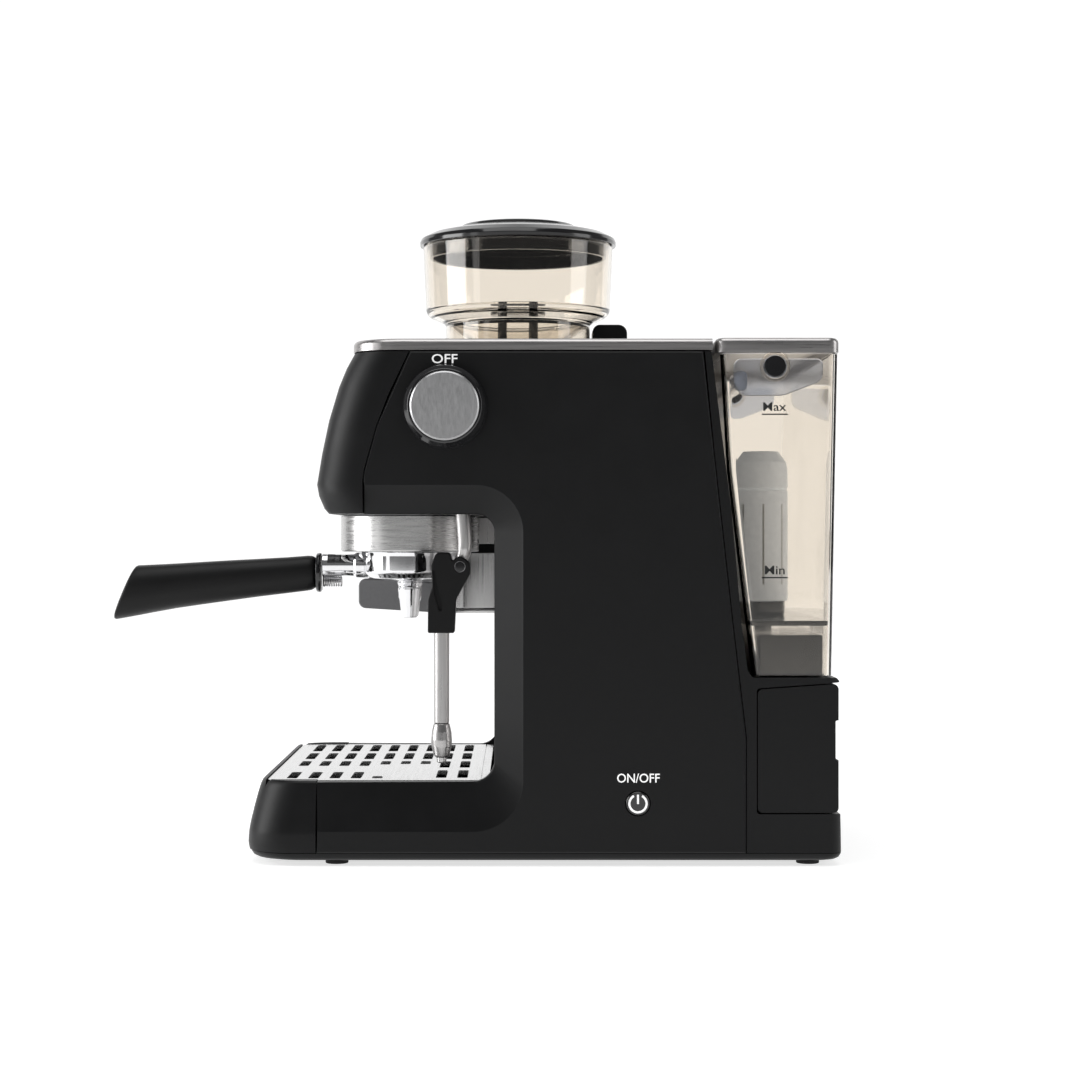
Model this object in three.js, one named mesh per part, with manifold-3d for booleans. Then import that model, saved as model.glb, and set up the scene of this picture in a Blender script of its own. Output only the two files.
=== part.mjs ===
// Espresso machine with a built-in grinder, in millimetres, +Z up, front facing -Y.
// While modelling, Y = 0 lies just behind the cup space and Z = 0 is the worktop.
// The last lines move the whole machine so that the origin is the bottom centre of its box.

import * as THREE from 'three';
import { mergeVertices } from 'three/addons/utils/BufferGeometryUtils.js';
import Module from 'manifold-3d';

const wasm = await Module();
wasm.setup();

// ---------- driving dimensions ----------

const GAP = 0.4; // running and assembly clearance between neighbouring pieces
const WALL = 3; // moulded cover thickness
const HALF_WIDTH = 140; // machine is 280 wide over its side covers
const COVER_INNER_X = 125; // side covers are 15 deep shells
const CORNER_R = 27; // vertical front corners of head and base

const BASE_FRONT_Y = -165.5;
const TRAY_SEAM_Y = -122.3; // tray front cover meets the side covers here
const COLUMN_Y = -15; // front edge of the column
const REAR_Y = 193.5;
const BASE_Z = 8; // top of the base plate
const DECK_Z = 50.3; // drip grill surface
const CREASE_Z = 21; // where the sloping upper part of the tray's sides ends
const HEAD_Z = 212.5; // underside of the head
const COVER_TOP_Z = 310.6;
const TOP_Z = 318.5; // cup shelf surface
const BEVEL = 17.5; // width of the bevelled border of the cup space

const GROUP = new THREE.Vector2(38, -70.4);
const COLLAR_R = 44.5;
const COLLAR_Z = 189.3;
const PORTAFILTER_Z = 172.4;
const PORTAFILTER_R = 30.5;

const GRINDER = new THREE.Vector2(-60, -0.7);
const CHUTE = new THREE.Vector2(GRINDER.x, GRINDER.y - 34); // coffee falls through the outlet here
const HOPPER_R = 65.3;
const HOPPER_NECK_R = 49.5;
const HOPPER_RIM_Z = 397.5;

const WAND_X = 105;
const WAND_PIVOT = new THREE.Vector2(-36.4, 180.3); // Y, Z of the tilt pivot
const WAND_TUBE_Y = -47.8;
const PIPE_Y = -34.6;

const KNOB = new THREE.Vector2(-44.3, 276.6); // Y, Z
const KNOB_R = 25.9;
const KNOB_PROUD = 21;
const POWER = new THREE.Vector2(71.6, 38.1); // Y, Z
const POWER_R = 7.2;

const TANK_HALF = 138.5;
const TANK_BOTTOM_Z = 115;
const TANK_FLOOR_Z = 145;
const TANK_TOP_Z = 309;
const TANK_WALL = 2.5;
const TANK_REAR_Y = 192.7;
const TANK_PIVOT = new THREE.Vector2(154.5, 301.5); // Y, Z of the carrying handle pivots

const DRAWER_FRONT_Y = 144;
const DRAWER_Z = 32;

const PANEL_TILT = THREE.MathUtils.degToRad(12); // front control panel leans back

// ---------- outline helpers ----------

const v2 = (u, v) => new THREE.Vector2(u, v);

// Turns [u, v, radius] corners into points; a corner with a radius becomes an arc of `steps` pieces.
function rounded(corners, steps = 5) {
  const points = [];
  corners.forEach(([u, v, radius = 0], index) => {
    const corner = v2(u, v);
    if (radius === 0) {
      points.push(corner);
      return;
    }
    const [pu, pv] = corners[(index + corners.length - 1) % corners.length];
    const [nu, nv] = corners[(index + 1) % corners.length];
    const back = v2(pu - u, pv - v).normalize();
    const ahead = v2(nu - u, nv - v).normalize();
    const half = Math.acos(THREE.MathUtils.clamp(back.dot(ahead), -1, 1)) / 2;
    const reach = radius / Math.tan(half);
    const toCentre = back.clone().add(ahead).normalize().multiplyScalar(radius / Math.sin(half));
    const centre = corner.clone().add(toCentre);
    const from = corner.clone().addScaledVector(back, reach).sub(centre);
    const to = corner.clone().addScaledVector(ahead, reach).sub(centre);
    let sweep = Math.atan2(to.y, to.x) - Math.atan2(from.y, from.x);
    if (sweep > Math.PI) sweep -= 2 * Math.PI;
    if (sweep < -Math.PI) sweep += 2 * Math.PI;
    for (let step = 0; step <= steps; step += 1) {
      points.push(from.clone().rotateAround(v2(0, 0), (sweep * step) / steps).add(centre));
    }
  });
  return points;
}

// Moves every edge of a closed corner list inwards by `distance`; radii shrink or grow to match.
function inset(corners, distance) {
  const area = THREE.ShapeUtils.area(corners.map(([u, v]) => v2(u, v)));
  const side = Math.sign(area) * distance;
  const edges = corners.map(([u, v], index) => {
    const [nu, nv] = corners[(index + 1) % corners.length];
    const along = v2(nu - u, nv - v).normalize();
    return { point: v2(u - along.y * side, v + along.x * side), along };
  });
  return corners.map(([u, v, radius = 0], index) => {
    const before = edges[(index + corners.length - 1) % corners.length];
    const after = edges[index];
    const cross = before.along.cross(after.along);
    if (Math.abs(cross) < 1e-6) return [after.point.x, after.point.y, radius];
    const delta = after.point.clone().sub(before.point);
    const travel = delta.cross(after.along) / cross;
    const point = before.point.clone().addScaledVector(before.along, travel);
    const convex = Math.sign(cross) === Math.sign(area);
    const grown = convex ? radius - distance : radius + distance;
    return [point.x, point.y, radius === 0 ? 0 : Math.max(grown, 0.3)];
  });
}

const rectangle = (u0, u1, w0, w1, radius = 0) => [
  [u0, w0, radius], [u1, w0, radius], [u1, w1, radius], [u0, w1, radius],
];

// ---------- solid helpers: three.js geometry in, manifold solid out ----------

function solid(geometry) {
  const bare = new THREE.BufferGeometry();
  bare.setAttribute('position', geometry.attributes.position.clone());
  bare.setIndex(geometry.index ? geometry.index.clone() : null);
  const merged = mergeVertices(bare, 1e-3);
  const position = merged.attributes.position;
  const faces = [];
  let volume = 0;
  const [a, b, c] = [new THREE.Vector3(), new THREE.Vector3(), new THREE.Vector3()];
  for (let i = 0; i < merged.index.count; i += 3) {
    const [p, q, r] = [0, 1, 2].map((k) => merged.index.getX(i + k));
    if (p === q || q === r || r === p) continue;
    a.fromBufferAttribute(position, p);
    b.fromBufferAttribute(position, q);
    c.fromBufferAttribute(position, r);
    volume += a.dot(b.clone().cross(c));
    faces.push([p, q, r]);
  }
  const oriented = volume < 0 ? faces.map(([p, q, r]) => [p, r, q]) : faces;
  return new wasm.Manifold(new wasm.Mesh({
    numProp: 3,
    vertProperties: new Float32Array(position.array),
    triVerts: new Uint32Array(oriented.flat()),
  }));
}

const join = (first, ...rest) => rest.reduce((sum, next) => sum.add(next), first);
const cut = (first, ...rest) => rest.reduce((sum, next) => sum.subtract(next), first);

function block(x0, x1, y0, y1, z0, z1) {
  const geometry = new THREE.BoxGeometry(x1 - x0, y1 - y0, z1 - z0);
  return solid(geometry.translate((x0 + x1) / 2, (y0 + y1) / 2, (z0 + z1) / 2));
}

// Extrudes a corner list along X (outline in Y, Z), Y (outline in X, Z) or Z (outline in X, Y).
function prism(axis, corners, from, to, steps = 5) {
  const shape = new THREE.Shape(rounded(corners, steps));
  const geometry = new THREE.ExtrudeGeometry(shape, { depth: to - from, bevelEnabled: false });
  geometry.translate(0, 0, from);
  const basis = {
    x: [[0, 1, 0], [0, 0, 1], [1, 0, 0]],
    y: [[1, 0, 0], [0, 0, 1], [0, 1, 0]],
    z: [[1, 0, 0], [0, 1, 0], [0, 0, 1]],
  }[axis].map((column) => new THREE.Vector3(...column));
  return solid(geometry.applyMatrix4(new THREE.Matrix4().makeBasis(...basis)));
}

// Turns a [radius, height] profile about an axis through `centre`, pointing along `direction`.
function turned(profile, centre, direction = new THREE.Vector3(0, 0, 1), segments = 20) {
  const closed = profile[0][0] > 0.001;
  const points = profile.map(([radius, height]) => v2(radius, height));
  if (closed) points.push(points[0].clone());
  const geometry = new THREE.LatheGeometry(points, segments);
  const turn = new THREE.Quaternion().setFromUnitVectors(new THREE.Vector3(0, 1, 0), direction);
  geometry.applyQuaternion(turn);
  return solid(geometry.translate(centre.x, centre.y, centre.z));
}

const upright = (centre, profile, segments) => turned(
  profile, new THREE.Vector3(centre.x, centre.y, 0), undefined, segments,
);

// A plain round bar between two heights along an axis.
const disc = (radius, from, to) => [[0, from], [radius, from], [radius, to], [0, to]];

// Skins a list of rings that have equal point counts, and closes both ends.
function loft(rings) {
  const count = rings[0].length;
  const positions = rings.flat().flatMap((point) => [point.x, point.y, point.z]);
  const index = [];
  for (let ring = 0; ring + 1 < rings.length; ring += 1) {
    for (let i = 0; i < count; i += 1) {
      const a = ring * count + i;
      const b = ring * count + ((i + 1) % count);
      index.push(a, b, b + count, a, b + count, a + count);
    }
  }
  const close = (points, base, forward) => {
    const normal = new THREE.Vector3();
    points.forEach((point, i) => normal.add(point.clone().cross(points[(i + 1) % count])));
    const size = [Math.abs(normal.x), Math.abs(normal.y), Math.abs(normal.z)];
    const main = size.indexOf(Math.max(...size));
    const keys = [['y', 'z'], ['z', 'x'], ['x', 'y']][main];
    const flat = points.map((point) => v2(point[keys[0]], point[keys[1]]));
    const follows = THREE.ShapeUtils.area(flat) > 0;
    THREE.ShapeUtils.triangulateShape(flat, []).forEach(([p, q, r]) => {
      index.push(base + p, ...(follows === forward ? [base + q, base + r] : [base + r, base + q]));
    });
  };
  close(rings[0], 0, false);
  close(rings[rings.length - 1], (rings.length - 1) * count, true);
  const geometry = new THREE.BufferGeometry();
  geometry.setAttribute('position', new THREE.Float32BufferAttribute(positions, 3));
  geometry.setIndex(index);
  return solid(geometry);
}

// A round bar swept along a smooth curve through the given points.
function bar(points, radius, steps = 24, sides = 12) {
  const path = new THREE.CatmullRomCurve3(points.map((point) => new THREE.Vector3(...point)));
  const shape = new THREE.Shape();
  shape.absarc(0, 0, radius, 0, Math.PI * 2, false);
  const settings = { steps, curveSegments: sides, bevelEnabled: false, extrudePath: path };
  return solid(new THREE.ExtrudeGeometry(shape, settings));
}

// ---------- materials ----------

function finish(color, roughness, metalness, opacity = 1) {
  return new THREE.MeshStandardMaterial({
    color, roughness, metalness, opacity, transparent: opacity < 1,
  });
}

const blackPlastic = finish('#1e1f21', 0.5, 0);
const glossBlack = finish('#101113', 0.2, 0);
const brushedSteel = finish('#a9a8a6', 0.35, 1);
const chrome = finish('#d8d8d8', 0.12, 1);
const rubber = finish('#141414', 0.9, 0);
const clearPlastic = finish('#d9cfc0', 0.1, 0, 0.35);
const bluePlastic = finish('#8e9db3', 0.3, 0, 0.6);
const whitePlastic = finish('#d9dde2', 0.5, 0);
const castMetal = finish('#8a8b8c', 0.5, 1);
const brass = finish('#b08d4a', 0.3, 1);
const dialWhite = finish('#e9e9e6', 0.6, 0);

const machine = new THREE.Group();

function piece(name, body, material) {
  const mesh = body.getMesh();
  const geometry = new THREE.BufferGeometry();
  geometry.setAttribute('position', new THREE.BufferAttribute(mesh.vertProperties, 3));
  geometry.setIndex(new THREE.BufferAttribute(mesh.triVerts, 1));
  geometry.computeVertexNormals();
  const item = new THREE.Mesh(geometry, material);
  item.name = name;
  machine.add(item);
}

const alongX = new THREE.Vector3(1, 0, 0);
const sideways = (yz, profile, segments) => turned(
  profile, new THREE.Vector3(0, yz.x, yz.y), alongX, segments,
);
const mirrored = (body) => body.mirror([1, 0, 0]);

// ---------- side covers ----------

// The C-shaped outline in (Y, Z). `border` is how far the cup space edge has moved into the cover,
// and `trim` how far the other edges have. Beside the tray the border reaches down to the crease.
function coverCorners(border, trim) {
  const cornerR = 11 + border;
  const share = border / BEVEL;
  const trayEdgeZ = THREE.MathUtils.lerp(DECK_Z - trim, CREASE_Z, share);
  const seamFront = [
    [-66 + trim, COVER_TOP_Z - trim], [-86.2 + trim, 264.9], [-94 + trim, 236],
    [-94 + trim, HEAD_Z + border],
  ];
  const cupSpace = [
    [COLUMN_Y + border, HEAD_Z + border, cornerR], [COLUMN_Y + border, 92],
    [COLUMN_Y + border, trayEdgeZ, 13 + 17 * share], [TRAY_SEAM_Y + trim, trayEdgeZ],
  ];
  const bottom = [[TRAY_SEAM_Y + trim, BASE_Z + trim], [136.8 - trim, BASE_Z + trim]];
  const rearSeam = [
    [136.8 - trim, 78], [128.4 - trim, 149.5], [117.5 - trim, 248.6], [111 - trim, COVER_TOP_Z - trim],
  ];
  return [...seamFront, ...cupSpace, ...bottom, ...rearSeam];
}

// How far out (in X) the edge of each corner starts to bevel, in the order of coverCorners.
const COVER_EDGE_X = [
  139, 139, 139, 127.5, 127.5, 127.5, 131, 134.5, 139.2, 139.2, 139, 139, 139, 139,
];

function coverSolid(thin) {
  const corner = (values) => values.flatMap(([, , radius = 0], i) => (
    Array(radius > 0 ? 6 : 1).fill(i)));
  const ring = (corners, xs) => {
    const ids = corner(corners);
    return rounded(corners).map((point, i) => new THREE.Vector3(xs(ids[i]), point.x, point.y));
  };
  const edge = coverCorners(0, 0);
  const face = coverCorners(BEVEL, 1.2);
  if (thin === 0) {
    return loft([
      ring(edge, () => COVER_INNER_X), ring(edge, (id) => COVER_EDGE_X[id]), ring(face, () => HALF_WIDTH),
    ]);
  }
  const innerEdge = inset(edge, thin);
  return loft([
    ring(innerEdge, () => COVER_INNER_X - 5),
    ring(innerEdge, (id) => COVER_EDGE_X[id] - thin * 0.6),
    ring(inset(face, thin), () => HALF_WIDTH - thin),
  ]);
}

function sideCover() {
  return cut(coverSolid(0), coverSolid(WALL));
}

piece('right_side_cover', cut(
  sideCover(),
  sideways(KNOB, disc(6.5, 120, 150), 18),
  sideways(POWER, disc(POWER_R + 0.5, 120, 150), 24),
), blackPlastic);
piece('left_side_cover', mirrored(sideCover()), blackPlastic);

// ---------- head ----------

// Side profile of the head front: height, and how far forward the front is.
const HEAD_PROFILE = [
  [HEAD_Z, -117.5], [218, -122], [230, -125], [236, -124.6], [264.9, -118.8], [290, -111.4],
  [COVER_TOP_Z, -102],
];
// Everything behind the side seam, as an outline in (Y, Z).
const BEHIND_SEAM = [
  [-94 - GAP, 200], [-94 - GAP, 236], [-86.2 - GAP, 264.9], [-66 - GAP, COVER_TOP_Z],
  [-66 - GAP, 340], [0, 340], [0, 200],
];

function headFront(thin) {
  const levels = HEAD_PROFILE.map(([z, front], i) => {
    const height = thin && i === 0 ? z + thin : z + (thin && i === HEAD_PROFILE.length - 1 ? 10 : 0);
    const half = HALF_WIDTH - 0.4 - thin;
    const back = -40 + thin;
    const radius = CORNER_R - thin;
    const corners = [
      [half, back], [half, front + thin, radius], [-half, front + thin, radius], [-half, back],
    ];
    return rounded(corners, 5).map((point) => new THREE.Vector3(point.x, point.y, height));
  });
  return loft(levels);
}

const panelNormal = new THREE.Vector3(0, -Math.cos(PANEL_TILT), Math.sin(PANEL_TILT));
const panelPoint = (x, z) => new THREE.Vector3(x, -124.3 + (z - 236) * Math.tan(PANEL_TILT), z);
const onPanel = (point, profile, segments) => turned(profile, point, panelNormal, segments);

const GAUGE = panelPoint(0, 266);
const GAUGE_R = 24;
const BUTTONS = [['one_cup_button', 46], ['two_cup_button', 76], ['grind_button', -76]];
const BUTTON_R = 9.5;
const BUTTON_Z = 262;

piece('head_front_cover', cut(
  headFront(0),
  headFront(WALL),
  prism('x', BEHIND_SEAM, -150, 150),
  upright(GROUP, disc(42, 200, 230)),
  onPanel(GAUGE, disc(GAUGE_R - 2, -12, 12), 24),
  ...BUTTONS.map(([, x]) => onPanel(panelPoint(x, BUTTON_Z), disc(BUTTON_R + 0.4, -12, 12), 24)),
), blackPlastic);

piece('gauge_case', onPanel(GAUGE, [
  [0, -10], [GAUGE_R - 2.5, -10], [GAUGE_R - 2.5, 1], [GAUGE_R + 1, 2], [GAUGE_R + 1, 4],
  [GAUGE_R - 0.5, 5], [GAUGE_R - 3, 5], [GAUGE_R - 3.6, -1.5], [0, -1.5],
], 18), brushedSteel);
piece('gauge_lens', onPanel(GAUGE, disc(GAUGE_R - 3.5, 2.2, 3.6), 18), clearPlastic);
const needle = cut(
  join(
    block(-0.8, 0.8, -17, 4, 0.2, 0.9),
    turned(disc(2.2, -0.8, 1.6), new THREE.Vector3(0, 0, 0), new THREE.Vector3(0, 0, 1), 12),
  ),
);
const needleTurn = new THREE.Matrix4().makeRotationX(Math.PI / 2 - PANEL_TILT).setPosition(GAUGE);
const NEEDLE_REST = THREE.MathUtils.degToRad(-45); // points down to the left at zero pressure
const needlePlace = needleTurn.clone().multiply(new THREE.Matrix4().makeRotationZ(NEEDLE_REST));
piece('gauge_needle', needle.transform(needlePlace.toArray()), finish('#c0332b', 0.5, 0));
BUTTONS.forEach(([name, x]) => piece(name, onPanel(panelPoint(x, BUTTON_Z), [
  [0, -6], [BUTTON_R, -6], [BUTTON_R, 1], [BUTTON_R - 0.8, 1.8], [0, 1.8],
], 24), brushedSteel));

piece('head_underside_panel', cut(
  block(-COVER_INNER_X + GAP, COVER_INNER_X - GAP, -94, COLUMN_Y + 1, HEAD_Z, HEAD_Z + WALL),
  upright(GROUP, disc(42, 200, 230)),
  upright(CHUTE, disc(14, 200, 230), 18),
  upright(v2(WAND_X, PIPE_Y), disc(6.5, 200, 230), 14),
), blackPlastic);
piece('column_front_panel', cut(
  block(-COVER_INNER_X + GAP, COVER_INNER_X - GAP, COLUMN_Y + 1.5, COLUMN_Y + 4, DECK_Z + 1, HEAD_Z - 1),
), brushedSteel);

const topRing = (z, trim) => rounded([
  [HALF_WIDTH - 1 - trim, 116.8], [HALF_WIDTH - 1 - trim, -101.5 + trim, CORNER_R],
  [-HALF_WIDTH + 1 + trim, -101.5 + trim, CORNER_R], [-HALF_WIDTH + 1 + trim, 116.8],
], 5).map((point) => new THREE.Vector3(point.x, point.y, z));
piece('top_plate', cut(
  loft([topRing(311, 0), topRing(315.5, 0), topRing(317.8, 1), topRing(TOP_Z, 3)]),
  upright(GRINDER, disc(54.5, 300, 330), 20),
  block(GRINDER.x - 13.5, GRINDER.x + 13.5, 49.6, 74.6, 300, 330),
), brushedSteel);

// ---------- base, rear housing and inner frame ----------

const basePlan = (trim) => [
  [HALF_WIDTH - 1 - trim, REAR_Y + 1.5 - trim, 8],
  [HALF_WIDTH - 1 - trim, BASE_FRONT_Y + 1.5 + trim, CORNER_R - 1],
  [-HALF_WIDTH + 1 + trim, BASE_FRONT_Y + 1.5 + trim, CORNER_R - 1],
  [-HALF_WIDTH + 1 + trim, REAR_Y + 1.5 - trim, 8],
];
const flatRing = (corners, z, steps) => rounded(corners, steps)
  .map((point) => new THREE.Vector3(point.x, point.y, z));
piece('base_plate', loft([
  flatRing(basePlan(9), 2.6, 4), flatRing(basePlan(1.5), 4.2, 4), flatRing(basePlan(0), BASE_Z - GAP, 4),
]), blackPlastic);

const FOOT_R = 7;
const FOOT_X = 122;
[['front', -111], ['rear', 176]].forEach(([end, y]) => {
  [['right', 1], ['left', -1]].forEach(([side, sign]) => {
    const foot = [[0, 0], [FOOT_R - 0.8, 0], [FOOT_R, 0.8], [FOOT_R, 2.3], [0, 2.3]];
    piece(`foot_${end}_${side}`, upright(v2(sign * FOOT_X, y), foot, 24), rubber);
  });
});

// Wall in front of the tank, shelf under it and the frame round the drawer, as one bent section.
const housingSection = [
  [112, COVER_TOP_Z], [116, COVER_TOP_Z], [121.7, 265], [128.1, 214], [133.8, 149.5], [138.4, 116],
  [139.6, 113.7], [191.7, 113.7, 1.5], [REAR_Y, 111.4], [REAR_Y, 110.9], [DRAWER_FRONT_Y - 0.7, 107.3],
  [DRAWER_FRONT_Y - 0.7, DRAWER_Z - 0.5], [REAR_Y + 0.6, DRAWER_Z - 0.5], [REAR_Y + 1.5, BASE_Z],
  [137.3, BASE_Z], [137.3, 78], [128.9, 149.5], [118, 248.6],
];
const INLET = v2(-96, 20); // X, Z of the power inlet under the drawer
piece('rear_housing', cut(
  join(
    prism('x', housingSection, -HALF_WIDTH + 1, HALF_WIDTH - 1),
  ).intersect(prism('z', basePlan(0), 0, 400)),
  prism('y', rectangle(INLET.x - 12, INLET.x + 12, INLET.y - 8, INLET.y + 8, 2), 170, 200, 3),
), blackPlastic);
piece('power_inlet', join(
  prism('y', rectangle(INLET.x - 11.6, INLET.x + 11.6, INLET.y - 7.6, INLET.y + 7.6, 2), 172, 196.2, 3),
  turned([[0, 0], [6.5, 0], [5, 6], [3.6, 6], [3.6, -4], [0, -4]],
    new THREE.Vector3(INLET.x, 189.5, INLET.y), new THREE.Vector3(0, 1, 0), 14),
), blackPlastic);

const frameSection = [
  [104, 12], [107, 12], [107, 300], [104, 300], [104, 224.5], [-84, 224.5], [-84, 221.5], [104, 221.5],
];
piece('inner_frame', cut(
  prism('x', frameSection, -118, 118),
  upright(GROUP, disc(37, 200, 240)),
  upright(GRINDER, disc(30, 200, 240)),
  upright(CHUTE, disc(14, 200, 240), 18),
  upright(v2(WAND_X, PIPE_Y), disc(9, 200, 240), 14),
), castMetal);

// ---------- group, boiler and pump ----------

const groupRing = (inner, outer, from, to) => [[inner, from], [outer, from], [outer, to], [inner, to]];
// Notches through which the portafilter's lugs drop out once it has been turned free.
const UNLOCK = THREE.MathUtils.degToRad(-45);
const LUG_HALF = THREE.MathUtils.degToRad(17);
function sector(angle, half, radius, from, to) {
  const corners = [[0, 0]];
  [-1, 0, 1].forEach((k) => corners.push([
    radius * Math.cos(angle + k * half), radius * Math.sin(angle + k * half),
  ]));
  return prism('z', corners, from, to).translate([GROUP.x, GROUP.y, 0]);
}
const notch = (angle) => sector(angle + UNLOCK, LUG_HALF * 1.25, 38.6, 180, 196);
piece('group_collar', upright(GROUP, [
  [41.2, COLLAR_Z + 2], [42, COLLAR_Z], [COLLAR_R - 0.8, COLLAR_Z], [COLLAR_R, COLLAR_Z + 0.8],
  [COLLAR_R, HEAD_Z - GAP], [41.2, HEAD_Z - GAP],
], 24), brushedSteel);
piece('group_head', cut(
  upright(GROUP, [
    [0, 230], [36.5, 230], [36.5, 219], [40.8, 219], [40.8, 191], [34.2, 191], [34.2, 195.6],
    [37.6, 196.4], [37.6, 207.4], [29.3, 207.4], [29.3, 211], [0, 211],
  ], 24),
  notch(0),
  notch(Math.PI),
), castMetal);
piece('group_gasket', upright(GROUP, groupRing(29.9, 37.2, 203.4, 207.1), 18), rubber);
piece('shower_screen', upright(GROUP, [
  [0, 205.4], [28.6, 205.4], [29, 206], [29, 210.7], [27.8, 210.7], [27.8, 206.6], [0, 206.6],
], 18), brushedSteel);
piece('boiler', join(
  upright(GROUP, [[0, 230.4], [34, 230.4], [36, 232.4], [36, 278], [32, 284], [0, 284]], 18),
  block(GROUP.x - 8, GROUP.x + 8, GROUP.y + 30, GROUP.y + 46, 240, 270),
), castMetal);
piece('pump', join(
  turned(disc(22, 20, 78), new THREE.Vector3(60, 0, 90), new THREE.Vector3(0, 1, 0), 20),
  turned(disc(11, 4, 98), new THREE.Vector3(60, 0, 90), new THREE.Vector3(0, 1, 0), 14),
), brass);

// ---------- portafilter ----------

const HANDLE_START_Y = -126;
const lug = (angle) => sector(angle, LUG_HALF, 37, 197, 201.5).subtract(
  upright(GROUP, disc(31, 190, 205), 18),
);
piece('portafilter_body', join(
  upright(GROUP, [
    [4, 176.2], [4, PORTAFILTER_Z - 2.6], [11, PORTAFILTER_Z - 2.6], [PORTAFILTER_R - 5, PORTAFILTER_Z],
    [PORTAFILTER_R, PORTAFILTER_Z + 3], [PORTAFILTER_R, 187], [33.4, 190.4], [33.4, 201.9],
    [29.6, 201.9],
    [29.6, 196], [28, 195], [28, 176.2],
  ], 20),
  lug(0),
  lug(Math.PI),
  cut(
    join(
      turned([[0, -3], [8.2, -3], [8.2, 4.6], [7, 6.4], [7, 19], [7.7, 25.4], [0, 25.4]],
        new THREE.Vector3(GROUP.x, GROUP.y - 31, 180.4), new THREE.Vector3(0, -1, 0), 20),
      turned(disc(3.6, 0, 12.4), new THREE.Vector3(GROUP.x, -114.4, 169.9), new THREE.Vector3(0, -1, 0), 12),
    ),
    upright(GROUP, disc(29.6, 150, 230)),
  ),
), chrome);
piece('filter_basket', upright(GROUP, [
  [0, 178.4], [25.6, 178.4], [27.2, 180], [27.2, 202.6], [33.2, 202.7], [33.2, 203.2], [26.4, 203.2],
  [26.4, 180.6], [25.2, 179.2], [0, 179.2],
], 20), brushedSteel);

const SPOUT_SPREAD = 10; // each leg stands this far from the middle of the group
const spoutAxis = (sign) => v2(GROUP.x + sign * SPOUT_SPREAD, GROUP.y);
const spoutLeg = (sign) => upright(
  spoutAxis(sign),
  [[0, 147], [5, 147], [6.6, 160], [7.4, 166.4], [0, 166.4]],
  20,
);
piece('portafilter_spout', cut(
  join(
    upright(GROUP, disc(7.6, 158, PORTAFILTER_Z - 3), 20),
    block(GROUP.x - SPOUT_SPREAD, GROUP.x + SPOUT_SPREAD, GROUP.y - 5.4, GROUP.y + 5.4, 157, 166.2),
    spoutLeg(-1),
    spoutLeg(1),
  ),
  ...[-1, 1].map((sign) => upright(spoutAxis(sign), disc(2.4, 140, 160), 12)),
), chrome);

// Handle sections along -Y: distance, centre height, half width, half height.
const HANDLE_PROFILE = [
  [0, 175.7, 10.2, 10.2], [4, 175.4, 11.2, 11.2], [36, 172.4, 12, 12.2], [88, 167.2, 13.6, 14.6],
  [110, 164.4, 14.2, 16.4], [123.2, 162.8, 14, 17.5],
];
const HANDLE_Y0 = -131.4;
const HANDLE_SQUARENESS = 0.86;
const handleRing = ([along, z, halfWidth, halfHeight], shear) => Array.from({ length: 20 }, (_, i) => {
  const angle = (i / 20) * Math.PI * 2;
  const [c, s] = [Math.cos(angle), Math.sin(angle)];
  const rise = halfHeight * Math.sign(s) * Math.abs(s) ** HANDLE_SQUARENESS;
  return new THREE.Vector3(
    GROUP.x + halfWidth * Math.sign(c) * Math.abs(c) ** HANDLE_SQUARENESS,
    HANDLE_Y0 - along + shear * rise,
    z + rise,
  );
});
const TIP_SHEAR = 0.42; // the end of the handle leans back at the top
piece('portafilter_handle', loft(HANDLE_PROFILE.map((row, i) => (
  handleRing(row, TIP_SHEAR * (i / (HANDLE_PROFILE.length - 1)) ** 2)
))), blackPlastic);
piece('handle_ferrule', turned(
  [[0, 0.3], [11.8, 0.3], [12.8, 1.2], [12.8, 3.2], [11.8, 4.2], [0, 4.2]],
  new THREE.Vector3(GROUP.x, -126.8, 175.7), new THREE.Vector3(0, -1, 0), 32,
), blackPlastic);

// ---------- grinder outlet and cradle ----------

const OUTLET_HALF = 36.4;
const OUTLET_Z = 150.6;
const outletPlan = (half, front, radius) => [
  [GRINDER.x - half, COLUMN_Y + 0.8], [GRINDER.x - half, front, radius],
  [GRINDER.x + half, front, radius], [GRINDER.x + half, COLUMN_Y + 0.8],
];
piece('grinder_outlet', cut(
  join(
    prism('z', outletPlan(OUTLET_HALF, -60, 24), OUTLET_Z, 188.6, 8),
    prism('z', outletPlan(26, -54, 20), 188, 194, 8),
    prism('z', outletPlan(29, -58, 23), 193.6, HEAD_Z - 0.4, 8),
  ),
  upright(CHUTE, disc(13, 145, 220), 20),
), brushedSteel);
// A sheet under the outlet carries the two arms that a portafilter rests on.
const ARM_BACK_Y = -52;
const CRADLE_PLATE_Z = [147.6, OUTLET_Z - GAP];
const cradleSide = [
  [ARM_BACK_Y, 147.6], [-108, 151, 4], [-108, 171, 4], [ARM_BACK_Y, 168],
];
piece('portafilter_cradle', join(
  ...[-1, 1].map((sign) => {
    const middle = GRINDER.x + sign * (OUTLET_HALF - 2.4);
    return prism('x', cradleSide, middle - 2.4, middle + 2.4, 4);
  }),
  cut(
    block(
      GRINDER.x - OUTLET_HALF, GRINDER.x + OUTLET_HALF, ARM_BACK_Y - 2, COLUMN_Y + 0.8,
      ...CRADLE_PLATE_Z,
    ),
    upright(CHUTE, disc(13.6, 145, 220), 20),
  ),
), brushedSteel);

// ---------- grinder ----------

const GEAR_MODULE = 1;
const GEAR_TEETH = 40;
const PINION_TEETH = 20;
const GEAR_Z = [216.4, 220.8];
const MOTOR = v2(GRINDER.x, GRINDER.y + (GEAR_MODULE * (GEAR_TEETH + PINION_TEETH)) / 2);

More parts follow.
